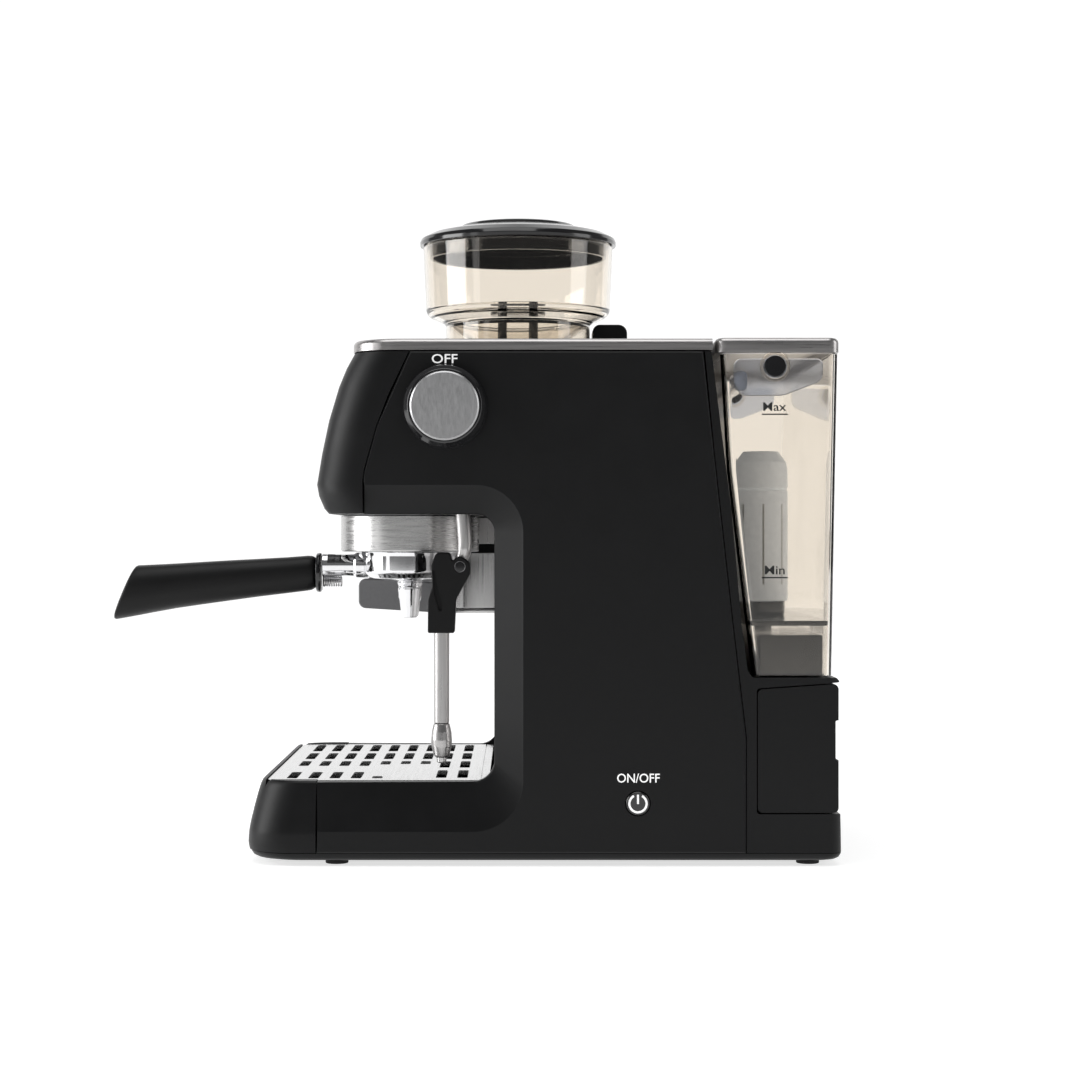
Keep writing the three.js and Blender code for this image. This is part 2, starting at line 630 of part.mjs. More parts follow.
// Straight-sided teeth on a disc; `phase` turns the first tooth, in tooth pitches.
function gearCorners(teeth, phase) {
  const pitchR = (GEAR_MODULE * teeth) / 2;
  const step = (Math.PI * 2) / teeth;
  const corners = [];
  for (let tooth = 0; tooth < teeth; tooth += 1) {
    [[-0.32, -1.25], [-0.14, 0.9], [0.14, 0.9], [0.32, -1.25]].forEach(([turn, height]) => {
      const angle = (tooth + phase + turn) * step;
      const radius = pitchR + height * GEAR_MODULE;
      corners.push([radius * Math.cos(angle), radius * Math.sin(angle)]);
    });
  }
  return corners;
}
const gear = (teeth, phase, centre) => prism('z', gearCorners(teeth, phase), ...GEAR_Z)
  .translate([centre.x, centre.y, 0]);

piece('burr_gear', join(
  gear(GEAR_TEETH, 0, GRINDER),
  upright(GRINDER, disc(8, 220, 263.6), 18),
), brass);
piece('motor_pinion', join(
  gear(PINION_TEETH, 0.5, MOTOR),
  upright(MOTOR, disc(4, 208.8, 218), 14),
), castMetal);
piece('grinder_motor', upright(MOTOR, [
  [0, 138], [20, 138], [22, 140], [22, 204], [20, 206], [8, 208.4], [0, 208.4],
], 24), castMetal);
piece('inner_burr', upright(GRINDER, [
  [0, 264], [22, 264], [22, 268], [12, 290], [0, 290],
], 18), castMetal);
piece('upper_burr', upright(GRINDER, [
  [23.2, 266], [37.4, 266], [37.4, 296], [20, 296], [13.6, 290.6], [23.2, 269],
], 24), castMetal);
piece('grinder_housing', cut(
  join(
    upright(GRINDER, [
      [9, 231], [46, 231], [46, 296], [53.8, 298], [53.8, 322], [50.2, 322], [50.2, 301], [38.2, 300],
      [38.2, 262], [30, 258], [9, 258],
    ], 20),
    block(CHUTE.x - 10, CHUTE.x + 10, CHUTE.y - 12, GRINDER.y - 22, 226, 257.5),
    upright(CHUTE, disc(12, 213.4, 230), 18),
  ),
  upright(CHUTE, disc(8.5, 205, 250), 14),
  block(CHUTE.x - 7, CHUTE.x + 7, CHUTE.y - 7, GRINDER.y - 20, 246, 264),
  block(GRINDER.x - 12.6, GRINDER.x + 12.6, 49.8, 80, 296, 330),
), glossBlack);

// ---------- bean hopper ----------

piece('hopper', upright(GRINDER, [
  [47.2, 303], [HOPPER_NECK_R, 303], [HOPPER_NECK_R, 344.5], [59.8, 349.5], [63.2, 352.6],
  [HOPPER_R, HOPPER_RIM_Z], [HOPPER_R - 2.3, HOPPER_RIM_Z], [60.9, 354], [20.4, 326.5], [20.4, 306],
  [22.6, 306], [22.6, 324.5], [47.2, 341],
], 24), clearPlastic);
piece('hopper_lid', upright(GRINDER, [
  [0, 411], [54, 402.5], [58, 400.5], [58, 389.5], [61, 389.5], [61, 398.2], [67.6, 398.2],
  [67.6, 401.4], [65.5, 404.6], [42, 410.8], [26, 415], [3.8, 415.3], [3.4, 417.2], [0, 417.6],
], 24), glossBlack);
const guardPosts = [45, 135, 225, 315].map((degrees) => {
  const post = v2(15, 0).rotateAround(v2(0, 0), THREE.MathUtils.degToRad(degrees)).add(GRINDER);
  return upright(post, disc(3, 322, 354), 8);
});
piece('hopper_guard', join(
  upright(GRINDER, groupRing(8, 19.8, 318, 323), 14),
  ...guardPosts,
  upright(GRINDER, [[0, 352.5], [19, 352.5], [19, 355], [8, 357], [0, 357]], 24),
), glossBlack);
const lockSide = [[50.4, 312], [74, 312], [74, 344, 4], [50.4, 344, 4]];
piece('hopper_lock', prism('x', lockSide, GRINDER.x - 12.2, GRINDER.x + 12.2, 4), blackPlastic);

// ---------- steam wand ----------

const PIPE_R = 4.7;
piece('steam_pipe', join(
  bar([
    [WAND_X, PIPE_Y, 226], [WAND_X, PIPE_Y, 214], [WAND_X, PIPE_Y + 0.8, 202],
    [WAND_X, PIPE_Y + 1, 190.4],
  ], PIPE_R, 9, 5),
  bar([
    [WAND_X, PIPE_Y + 1, 193], [WAND_X, PIPE_Y + 0.4, 188], [WAND_X, WAND_PIVOT.x, WAND_PIVOT.y],
  ], 3.2, 9, 3),
  sideways(WAND_PIVOT, disc(5.8, WAND_X - 3.2, WAND_X + 3.2), 18),
  sideways(WAND_PIVOT, disc(3.2, WAND_X - 8.6, WAND_X + 8.6), 12),
), chrome);
const gripSide = [
  [-56.1, 139.6, 1], [-39.7, 139.6, 1], [-38.7, 160, 6], [-35.6, 166, 6], [-30, 176, 4],
  [-30.2, 184, 5], [-38, 187.2, 3], [-41, 183], [-42.4, 189, 2], [-50.9, 189, 3], [-54, 181.3, 6],
  [-53.4, 168, 6], [-55.9, 160, 6],
];
piece('steam_grip', cut(
  prism('x', gripSide, WAND_X - 8, WAND_X + 8, 4),
  block(WAND_X - 3.8, WAND_X + 3.8, -70, -20, 172, 200),
  sideways(WAND_PIVOT, disc(3.6, WAND_X - 20, WAND_X + 20), 14),
), blackPlastic);
const wandAxis = v2(WAND_X, WAND_TUBE_Y);
piece('steam_tube', upright(wandAxis, groupRing(3, 4.75, 84, 139.2), 18), brushedSteel);
piece('steam_nozzle', upright(wandAxis, [
  [0, 59], [2.9, 59], [3.1, 62.4], [4.6, 63.2], [6.4, 69], [6.5, 75], [5.3, 83.6], [0, 83.6],
], 20), brushedSteel);

// ---------- steam knob and power button ----------

const face = HALF_WIDTH;
piece('steam_knob', sideways(KNOB, [
  [0, 124.2], [4, 124.2], [4, 128], [5.8, 128], [5.8, face + 0.6], [KNOB_R, face + 0.6],
  [KNOB_R, face + 4], [24.4, face + 16], [21.8, face + 19.2], [0, face + 19.2],
], 20), glossBlack);
piece('knob_cap', sideways(KNOB, [
  [0, face + 19.5], [20.6, face + 19.5], [20.6, face + 20], [19.6, face + KNOB_PROUD],
  [0, face + KNOB_PROUD],
], 20), brushedSteel);
piece('steam_valve', join(
  sideways(KNOB, disc(10, 98, 123.8), 18),
  block(100, 112, KNOB.x - 12, KNOB.x + 12, KNOB.y - 22, KNOB.y),
), brass);
piece('power_button', sideways(POWER, [
  [0, 128], [POWER_R, 128], [POWER_R, face + 0.2], [POWER_R - 0.7, face + 0.8], [0, face + 0.8],
], 24), glossBlack);

// ---------- water tank ----------

// Height, front wall and rear wall of the tank, bottom to top.
const TANK_LEVELS = [[TANK_BOTTOM_Z, 140.8, 189], [239, 125.7, 191.3], [TANK_TOP_Z, 121.6, TANK_REAR_Y]];
function tankSolid(thin, from, to) {
  const at = (z, column) => {
    const upper = z > TANK_LEVELS[1][0] ? 2 : 1;
    const [low, high] = [TANK_LEVELS[upper - 1], TANK_LEVELS[upper]];
    return THREE.MathUtils.mapLinear(z, low[0], high[0], low[column], high[column]);
  };
  const heights = [from, ...(from < 239 && to > 239 ? [239] : []), to];
  return loft(heights.map((z) => flatRing(rectangle(
    -TANK_HALF + thin, TANK_HALF - thin, at(z, 1) + thin, at(z, 2) - thin, 6 - thin,
  ), z, 4)));
}
const bothSides = (body) => join(body, mirrored(body));
piece('water_tank', cut(
  tankSolid(0, TANK_BOTTOM_Z, TANK_TOP_Z),
  tankSolid(TANK_WALL, TANK_FLOOR_Z + 3, TANK_TOP_Z + 6),
  tankSolid(TANK_WALL, TANK_BOTTOM_Z - 4, TANK_FLOOR_Z),
  sideways(TANK_PIVOT, disc(7.1, 130, 150), 20),
  sideways(TANK_PIVOT, disc(7.1, -150, -130), 20),
), clearPlastic);
piece('tank_seat', join(
  block(-124, 124, 146, 185, 114.1, 138.8),
  upright(v2(-60, 165), disc(9, 130, 144), 18),
), blackPlastic);

const lidRing = (z, trim) => flatRing(rectangle(
  -HALF_WIDTH + 1.3 + trim, HALF_WIDTH - 1.3 - trim, 118.6 + trim, 193.5 - trim, 7 - trim,
), z, 4);
piece('tank_lid', cut(
  loft([lidRing(309.6, 0), lidRing(316, 0), lidRing(318.2, 0.8), lidRing(319, 2.6)]),
  block(-134, 134, 123, 189, 300, 315.6),
), brushedSteel);
const armSide = [
  [129.6, 306.5, 4], [129.6, 291, 5], [134.5, 283.4, 5], [160, 284, 10], [183.4, 293, 5],
  [184, 306.5, 3],
];
piece('tank_handle', join(
  bothSides(prism('x', armSide, 131.8, 135.3, 4)),
  prism('x', rectangle(130, 138, 287, 299, 2), -133, 133, 3),
  sideways(TANK_PIVOT, disc(6.7, 133, TANK_HALF + 0.4), 20),
  sideways(TANK_PIVOT, disc(6.7, -TANK_HALF - 0.4, -133), 20),
), bluePlastic);
piece('filter_cartridge', upright(v2(20, 158), [
  [0, 148.4], [15.8, 148.4], [15.8, 157], [17.6, 157.6], [17.6, 229.6], [17, 230], [17, 231],
  [17.6, 231.4], [17.4, 245], [12.2, 254.6], [0, 254.6],
], 20), whitePlastic);

// ---------- drip tray, grill and storage drawer ----------

const TRAY_HALF = 122;
piece('drip_tray', cut(
  loft([
    flatRing(rectangle(-TRAY_HALF + 2, TRAY_HALF - 2, -152, -21, 9), 9, 4),
    flatRing(rectangle(-TRAY_HALF, TRAY_HALF, -154, -19, 9), 13, 4),
    flatRing(rectangle(-TRAY_HALF, TRAY_HALF, -154, -19, 9), 46.8, 4),
  ]),
  prism('z', rectangle(-TRAY_HALF + 2.4, TRAY_HALF - 2.4, -151.6, -21.4, 7), 12, 60, 4),
), blackPlastic);
// Height, set-back of the front face and half width, bottom to top.
const TRAY_FRONT_PROFILE = [
  [BASE_Z, 0.4, 139.2], [11.5, -0.4, 139.6], [CREASE_Z, 0.4, 139.6], [26, 1.2, 138.7],
  [43.8, 5.6, 135.6], [49.8, 7.6, 134.6], [51.4, 9.4, 133.2],
];
piece('tray_front_cover', cut(
  loft(TRAY_FRONT_PROFILE.map(([z, set, half]) => flatRing([
    [half, -95], [half, BASE_FRONT_Y + set, CORNER_R],
    [-half, BASE_FRONT_Y + set, CORNER_R], [-half, -95],
  ], z, 5))),
  block(-TRAY_HALF - 1, TRAY_HALF + 1, -154.6, 0, 0, 80),
  block(-200, 200, TRAY_SEAM_Y - GAP, 0, 0, 80),
), blackPlastic);

const SLOT_PITCH = 13.1;
// Left and right ends of the slots. The two right-hand rows go round a plain patch, so their
// ends change from the front columns to the rear ones.
const LEFT_SLOTS = [[-116, -68], [-54, -12]];
const FRONT_SLOTS = [[2, 34], [73, 111]];
const SLOTS_BEFORE_PATCH = [[2, 25], [98, 111]];
const SLOTS_AT_PATCH = [[2, 22]];
const REAR_SLOTS = [[3, 45], [62, 108]];
const RIGHT_SLOTS = [
  FRONT_SLOTS, FRONT_SLOTS, FRONT_SLOTS, FRONT_SLOTS, SLOTS_BEFORE_PATCH,
  SLOTS_AT_PATCH, SLOTS_AT_PATCH, REAR_SLOTS, REAR_SLOTS,
];
const grillSlots = RIGHT_SLOTS.flatMap((rightSlots, column) => {
  const y = -139.8 + column * SLOT_PITCH;
  return [...LEFT_SLOTS, ...rightSlots].map(
    ([from, to]) => block(from, to, y - 3.2, y + 3.2, 40, 60),
  );
});
piece('drip_grill', cut(
  prism('z', rectangle(-TRAY_HALF, TRAY_HALF, -153.8, -18, 8), DECK_Z - 3, DECK_Z, 4),
  block(-TRAY_HALF, TRAY_HALF, -23.4, -22.7, DECK_Z - 0.8, DECK_Z + 1),
  ...grillSlots,
), brushedSteel);

const FINGER_NOTCH_Z = [64, 88];
const drawerSide = [
  [DRAWER_FRONT_Y, DRAWER_Z + 0.2, 3], [REAR_Y - 0.8, DRAWER_Z + 0.2, 3], [REAR_Y - 0.8, 110, 3],
  [DRAWER_FRONT_Y, 106.6, 3],
];
piece('storage_drawer', cut(
  prism('x', drawerSide, -HALF_WIDTH + 1.6, HALF_WIDTH - 1.6, 4),
  cut(
    block(-HALF_WIDTH + 4, HALF_WIDTH - 4, DRAWER_FRONT_Y + 2.5, REAR_Y - 3.4, DRAWER_Z + 2.8, 130),
    block(-40, 40, REAR_Y - 13, REAR_Y, 58, 95),
  ),
  block(-36, 36, REAR_Y - 10, REAR_Y + 9, ...FINGER_NOTCH_Z),
  block(-HALF_WIDTH, HALF_WIDTH, REAR_Y - 1.8, REAR_Y + 9, ...FINGER_NOTCH_Z),
), blackPlastic);

// ---------- place the machine with its origin at the bottom centre of its box ----------

const box = new THREE.Box3().setFromObject(machine);
machine.position.set(-(box.min.x + box.max.x) / 2, -(box.min.y + box.max.y) / 2, -box.min.z);

export default machine;
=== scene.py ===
"""The looks of the espresso machine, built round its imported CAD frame.

Pieces are laid out in the model's own millimetres, the same as the CAD uses: X to the user's right
from the machine's middle plane, Y to the back from a line just behind the cup space, Z up from the
worktop. at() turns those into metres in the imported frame, from two boxes of the frame itself.
"""

import math

import bmesh
import bpy
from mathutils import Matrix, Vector


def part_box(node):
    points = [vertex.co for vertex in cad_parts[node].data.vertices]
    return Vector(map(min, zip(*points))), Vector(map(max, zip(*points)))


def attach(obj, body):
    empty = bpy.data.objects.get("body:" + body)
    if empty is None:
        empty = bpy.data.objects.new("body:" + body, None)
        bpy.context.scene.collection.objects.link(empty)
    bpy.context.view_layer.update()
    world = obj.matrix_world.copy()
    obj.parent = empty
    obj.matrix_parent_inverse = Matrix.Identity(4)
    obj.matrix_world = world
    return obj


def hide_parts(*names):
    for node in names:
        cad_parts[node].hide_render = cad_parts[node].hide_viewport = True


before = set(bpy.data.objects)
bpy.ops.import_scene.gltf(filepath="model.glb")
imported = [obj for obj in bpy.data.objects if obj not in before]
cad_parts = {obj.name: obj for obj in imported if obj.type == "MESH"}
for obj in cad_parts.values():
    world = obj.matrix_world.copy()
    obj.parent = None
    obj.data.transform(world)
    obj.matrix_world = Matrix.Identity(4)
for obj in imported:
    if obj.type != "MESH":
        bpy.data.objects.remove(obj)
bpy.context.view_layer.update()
MM = 0.001


# ---------- where things are ----------

def centre_of(node):
    low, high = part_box(node)
    return (low + high) / 2


PANEL_FRONT = -13.5  # the column's front panel, in model millimetres
ORIGIN = Vector((
    centre_of("base_plate").x,
    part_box("column_front_panel")[0].y - PANEL_FRONT * MM,
    0,
))


def at(x, y, z):
    return ORIGIN + Vector((x, y, z)) * MM


def model_mm(point):
    return (Vector(point) - ORIGIN) / MM


GROUP = model_mm(centre_of("group_collar"))
GRINDER = model_mm(centre_of("hopper"))
KNOB = model_mm(centre_of("knob_cap"))
POWER = model_mm(centre_of("power_button"))
WAND = model_mm(centre_of("steam_tube"))
CARTRIDGE = model_mm(centre_of("filter_cartridge"))
HALF = 140.0
TOP_Z = model_mm(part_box("top_plate")[1]).z
DECK_Z = 50.3  # drip grill surface
CREASE_Z = 21  # where the sloping upper part of the tray's sides ends
HEAD_Z = 212.5
COVER_TOP_Z = 310.6
REAR_Y = 193.5
BASE_FRONT_Y = -165.5
TRAY_SEAM_Y = -122.3
CORNER_R = 27.0
PANEL_TILT = math.radians(12)
PANEL_NORMAL = Vector((0, -math.cos(PANEL_TILT), math.sin(PANEL_TILT)))


# ---------- outlines ----------

def rounded(corners, steps=8):
    """Corners are (u, v) or (u, v, radius); a corner with a radius becomes an arc."""
    points = []
    count = len(corners)
    for index, corner in enumerate(corners):
        here = Vector(corner[:2])
        radius = corner[2] if len(corner) > 2 else 0
        if radius <= 0:
            points.append(here)
            continue
        back = (Vector(corners[index - 1][:2]) - here).normalized()
        ahead = (Vector(corners[(index + 1) % count][:2]) - here).normalized()
        half = math.acos(max(-1, min(1, back.dot(ahead)))) / 2
        reach = radius / math.tan(half)
        centre = here + (back + ahead).normalized() * (radius / math.sin(half))
        start = here + back * reach - centre
        end = here + ahead * reach - centre
        sweep = math.atan2(end.y, end.x) - math.atan2(start.y, start.x)
        sweep = (sweep + math.pi) % (2 * math.pi) - math.pi
        for step in range(steps + 1):
            turn = sweep * step / steps
            c, s = math.cos(turn), math.sin(turn)
            points.append(centre + Vector((start.x * c - start.y * s, start.x * s + start.y * c)))
    return points


def rectangle(u0, u1, v0, v1, radius=0.0):
    return [(u0, v0, radius), (u1, v0, radius), (u1, v1, radius), (u0, v1, radius)]


def smooth_profile(profile, radius=0.6, steps=4):
    """Rounds the inner corners of an open (radius, height) profile."""
    result = [Vector(profile[0][:2])]
    for before, here, after in zip(profile, profile[1:], profile[2:]):
        wanted = here[2] if len(here) > 2 else radius
        point = Vector(here[:2])
        back, ahead = Vector(before[:2]) - point, Vector(after[:2]) - point
        room = min(back.length, ahead.length) * 0.45
        if wanted <= 0 or room < 1e-6:
            result.append(point)
            continue
        back.normalize()
        ahead.normalize()
        half = math.acos(max(-1, min(1, back.dot(ahead)))) / 2
        reach = min(wanted / max(math.tan(half), 1e-6), room)
        start, end = point + back * reach, point + ahead * reach
        for step in range(steps + 1):
            t = step / steps
            result.append(start * (1 - t) ** 2 + point * (2 * t * (1 - t)) + end * t ** 2)
    result.append(Vector(profile[-1][:2]))
    return result


# ---------- meshes ----------

def new_mesh(name, points, faces, crease=40):
    """Points are in model millimetres. Faces meeting at more than `crease` degrees stay sharp."""
    mesh = bpy.data.meshes.new(name)
    mesh.from_pydata([at(*point) for point in points], [], faces)
    work = bmesh.new()
    work.from_mesh(mesh)
    bmesh.ops.remove_doubles(work, verts=work.verts, dist=1e-6)
    bmesh.ops.dissolve_degenerate(work, edges=work.edges, dist=1e-7)
    bmesh.ops.recalc_face_normals(work, faces=work.faces)
    work.to_mesh(mesh)
    work.free()
    piece = bpy.data.objects.new(name, mesh)
    bpy.context.scene.collection.objects.link(piece)
    shade(piece, crease)
    return piece


def shade(piece, crease=40):
    mesh = piece.data
    mesh.polygons.foreach_set("use_smooth", [True] * len(mesh.polygons))
    mesh.set_sharp_from_angle(angle=math.radians(crease))
    mesh.update()


def loft_data(rings, closed_ends=True):
    count = len(rings[0])
    points = [point for ring in rings for point in ring]
    faces = []
    for ring in range(len(rings) - 1):
        for i in range(count):
            a, b = ring * count + i, ring * count + (i + 1) % count
            faces.append((a, b, b + count, a + count))
    if closed_ends:
        faces.append(tuple(reversed(range(count))))
        faces.append(tuple(range((len(rings) - 1) * count, len(rings) * count)))
    return points, faces


def loft(name, rings, crease=40):
    return new_mesh(name, *loft_data(rings), crease=crease)


def flat_ring(corners, z, steps=8):
    return [Vector((p.x, p.y, z)) for p in rounded(corners, steps)]


def frame_along(axis):
    return Vector((0, 0, 1)).rotation_difference(Vector(axis).normalized())


def lathe(name, profile, centre, axis=(0, 0, 1), segments=72, radius=0.6, closed=False, crease=40):
    """Turns an (r, h) profile about an axis. An open profile starts and ends on the axis."""
    outline = smooth_profile(list(profile) + [profile[0]] if closed else profile, radius)
    turn = frame_along(axis)
    base = Vector(centre)
    points, faces = [], []
    for spoke in range(segments):
        angle = 2 * math.pi * spoke / segments
        c, s = math.cos(angle), math.sin(angle)
        for p in outline:
            points.append(base + turn @ Vector((p.x * c, p.x * s, p.y)))
    count = len(outline)
    for spoke in range(segments):
        following = (spoke + 1) % segments
        for i in range(count - 1):
            a, b = spoke * count + i, following * count + i
            faces.append((a, b, b + 1, a + 1))
    return new_mesh(name, points, faces, crease)


def prism(name, axis, corners, low, high, steps=8, crease=40):
    outline = rounded(corners, steps)
    place = {
        "x": lambda p, t: Vector((t, p.x, p.y)),
        "y": lambda p, t: Vector((p.x, t, p.y)),
        "z": lambda p, t: Vector((p.x, p.y, t)),
    }[axis]
    return loft(name, [[place(p, low) for p in outline], [place(p, high) for p in outline]], crease)


def apply_modifiers(piece):
    graph = bpy.context.evaluated_depsgraph_get()
    mesh = bpy.data.meshes.new_from_object(piece.evaluated_get(graph))
    piece.modifiers.clear()
    piece.data = mesh
    return piece


def bevel(piece, width, segments=3, angle=30):
    modifier = piece.modifiers.new("edge", "BEVEL")
    modifier.width = width * MM
    modifier.segments = segments
    modifier.limit_method = "ANGLE"
    modifier.angle_limit = math.radians(angle)
    modifier.use_clamp_overlap = True
    apply_modifiers(piece)
    shade(piece)
    return piece


def carve(piece, *tools, operation="DIFFERENCE", crease=40):
    for tool in tools:
        modifier = piece.modifiers.new("cut", "BOOLEAN")
        modifier.object = tool
        modifier.operation = operation
        modifier.solver = "EXACT"
        bpy.context.view_layer.update()
        apply_modifiers(piece)
    for tool in tools:
        bpy.data.objects.remove(tool)
    shade(piece, crease)
    return piece


def tube(name, route, radius, rings=40, sides=24):
    """A round bar through the points, on a smooth curve. A radius may change from point to point."""
    radii = radius if isinstance(radius, (list, tuple)) else [radius] * len(route)
    centres, sizes = spline(route, rings), []
    for i in range(rings + 1):
        place = i / rings * (len(radii) - 1)
        low = min(int(place), len(radii) - 2)
        sizes.append(radii[low] + (radii[low + 1] - radii[low]) * (place - low))
    shapes = []
    side = None
    for i, centre in enumerate(centres):
        ahead = (centres[min(i + 1, rings)] - centres[max(i - 1, 0)]).normalized()
        if side is None:
            side = ahead.orthogonal().normalized()
        side = (side - ahead * side.dot(ahead)).normalized()
        up = ahead.cross(side)
        shapes.append([
            centre + (side * math.cos(a) + up * math.sin(a)) * sizes[i]
            for a in (2 * math.pi * k / sides for k in range(sides))
        ])
    return loft(name, shapes)


def spline(route, count):
    """Catmull-Rom curve through the points, count + 1 samples."""
    points = [Vector(p) for p in route]
    ends = [points[0] * 2 - points[1]] + points + [points[-1] * 2 - points[-2]]
    samples = []
    for i in range(count + 1):
        place = i / count * (len(points) - 1)
        k = min(int(place), len(points) - 2)
        t = place - k
        a, b, c, d = ends[k:k + 4]
        samples.append(0.5 * (
            2 * b + (c - a) * t + (2 * a - 5 * b + 4 * c - d) * t ** 2
            + (3 * b - a - 3 * c + d) * t ** 3
        ))
    return samples


def finish_piece(piece, material, slot, body, *nodes):
    piece.data.materials.clear()
    piece.data.materials.append(material)
    even = piece.modifiers.new("even_shading", "WEIGHTED_NORMAL")
    even.keep_sharp = True
    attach(piece, body)
    if nodes:
        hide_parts(*nodes)
    return piece


# ---------- materials ----------

def start_material(name, color, roughness, metallic=0.0, **more):
    material = bpy.data.materials.new(name)
    material.use_nodes = True
    nodes = material.node_tree.nodes
    shader = nodes["Principled BSDF"]
    shader.inputs["Base Color"].default_value = (*color, 1)
    shader.inputs["Roughness"].default_value = roughness
    shader.inputs["Metallic"].default_value = metallic
    for key, value in more.items():
        shader.inputs[key.replace("_", " ")].default_value = value
    return material, material.node_tree, shader


def grain(tree, shader, scale, stretch=(1, 1, 1), bump=0.0, distance=0.0001, rough=None, detail=3.0,
          tint=None):
    """Noise in the object's own space: bump, roughness between two values, and colour between two."""
    nodes, links = tree.nodes, tree.links
    coords = nodes.new("ShaderNodeTexCoord")
    mapping = nodes.new("ShaderNodeMapping")
    mapping.inputs["Scale"].default_value = stretch
    noise = nodes.new("ShaderNodeTexNoise")
    noise.inputs["Scale"].default_value = scale
    noise.inputs["Detail"].default_value = detail
    links.new(coords.outputs["Object"], mapping.inputs["Vector"])
    links.new(mapping.outputs["Vector"], noise.inputs["Vector"])
    if bump:
        node = nodes.new("ShaderNodeBump")
        node.inputs["Strength"].default_value = bump
        node.inputs["Distance"].default_value = distance
        links.new(noise.outputs["Fac"], node.inputs["Height"])
        if shader.inputs["Normal"].is_linked:
            links.new(shader.inputs["Normal"].links[0].from_socket, node.inputs["Normal"])
        links.new(node.outputs["Normal"], shader.inputs["Normal"])
    if rough:
        spread = nodes.new("ShaderNodeMapRange")
        spread.inputs["From Min"].default_value = 0.3
        spread.inputs["From Max"].default_value = 0.7
        spread.inputs["To Min"].default_value, spread.inputs["To Max"].default_value = rough
        links.new(noise.outputs["Fac"], spread.inputs["Value"])
        links.new(spread.outputs["Result"], shader.inputs["Roughness"])
    if tint:
        ramp = nodes.new("ShaderNodeValToRGB")
        ramp.color_ramp.elements[0].position = 0.3
        ramp.color_ramp.elements[1].position = 0.7
        ramp.color_ramp.elements[0].color = (*tint[0], 1)
        ramp.color_ramp.elements[1].color = (*tint[1], 1)
        links.new(noise.outputs["Fac"], ramp.inputs["Fac"])
        links.new(ramp.outputs["Color"], shader.inputs["Base Color"])


def satin_black(name="satin_black", color=(0.0042, 0.0043, 0.0047), rough=(0.40, 0.47)):
    material, tree, shader = start_material(name, color, 0.44, Specular_IOR_Level=0.24)
    grain(tree, shader, 2600, bump=0.10, distance=0.00006, detail=2.0)
    grain(tree, shader, 45, rough=rough, tint=(color, tuple(c * 1.12 for c in color)))
    return material


def gloss_black():
    color = (0.006, 0.006, 0.0068)
    material, tree, shader = start_material("gloss_black", color, 0.14, Coat_Weight=0.35)
    shader.inputs["Coat Roughness"].default_value = 0.06
    grain(tree, shader, 60, rough=(0.11, 0.18), tint=(color, (0.008, 0.008, 0.009)))
    return material


def brushed(name, stretch, color=(0.50, 0.49, 0.485), rough=(0.26, 0.38), bump=0.16):
    """Fine lines: the noise is long along the axis whose stretch is small."""
    material, tree, shader = start_material(name, color, 0.32, metallic=1.0)
    darker = tuple(c * 0.88 for c in color)
    grain(tree, shader, 900, stretch, bump=bump, distance=0.00004, rough=rough, detail=4.0,
          tint=(darker, color))
    return material


def polished(name="chrome", color=(0.80, 0.80, 0.81)):
    material, tree, shader = start_material(name, color, 0.07, metallic=1.0)
    grain(tree, shader, 30, rough=(0.04, 0.10), tint=(tuple(c * 0.95 for c in color), color))
    return material


def clear(name, color, rough=(0.02, 0.05), weight=1.0, ior=1.46):
    material, tree, shader = start_material(name, color, 0.03, Transmission_Weight=weight, IOR=ior)
    grain(tree, shader, 25, rough=rough)
    return material


def plain(name, color, rough=(0.45, 0.6), scale=300, bump=0.08, metallic=0.0):
    material, tree, shader = start_material(name, color, 0.5, metallic)
    grain(tree, shader, scale, bump=bump, distance=0.00008, rough=rough,
          tint=(tuple(c * 0.9 for c in color), color))
    return material


def glow(material, color, strength):
    """A little light of its own. On print and plastic that must look bright it is painted light, making them
    brighter than the lamps light them; on the floor and wall sheets it keeps them evenly bright.
    """
    shader = material.node_tree.nodes["Principled BSDF"]
    shader.inputs["Emission Color"].default_value = (*color, 1)
    shader.inputs["Emission Strength"].default_value = strength


BLACK = satin_black()
GRIP_BLACK = satin_black("grip_black", (0.004, 0.004, 0.0042), (0.42, 0.5))
GLOSS = gloss_black()
STEEL_Y = brushed("steel_brushed_along", (1, 0.02, 1), (0.47, 0.455, 0.45))
STEEL_UP = brushed("steel_brushed_upright", (1, 1, 0.02))
STEEL_RING = brushed("steel_turned", (0.05, 0.05, 1), (0.58, 0.575, 0.57), (0.2, 0.34))
GRILL_STEEL = brushed("steel_grill", (0.02, 1, 1), (0.72, 0.72, 0.72), (0.2, 0.3), 0.08)
CAP_METAL = brushed("knob_metal", (1, 1, 0.3), (0.50, 0.50, 0.505), (0.34, 0.44), 0.1)
CHROME = polished()
CLEAR = clear("smoky_clear", (0.93, 0.885, 0.82))
LENS = clear("lens_clear", (0.98, 0.98, 0.98))
BLUE = clear("blue_smoke", (0.75, 0.80, 0.90), (0.08, 0.14), 0.9)
CARTRIDGE_BLUE_PAINTED_GLOW = plain("cartridge_plastic_painted_glow", (0.80, 0.83, 0.86), (0.3, 0.42))
# Painted light: the cartridge plastic is given its own glow so it looks brighter than the lamps light it.
glow(CARTRIDGE_BLUE_PAINTED_GLOW, (0.80, 0.83, 0.86), 0.22)
RUBBER = plain("rubber", (0.012, 0.012, 0.012), (0.75, 0.9), 900, 0.2)
CAST = plain("cast_metal", (0.30, 0.30, 0.31), (0.4, 0.6), 500, 0.3, 1.0)
BRASS = plain("brass", (0.52, 0.36, 0.14), (0.25, 0.4), 200, 0.05, 1.0)
PRINT_WHITE_PAINTED_GLOW = plain("print_white_painted_glow", (0.86, 0.86, 0.86), (0.5, 0.6), 400, 0.02)
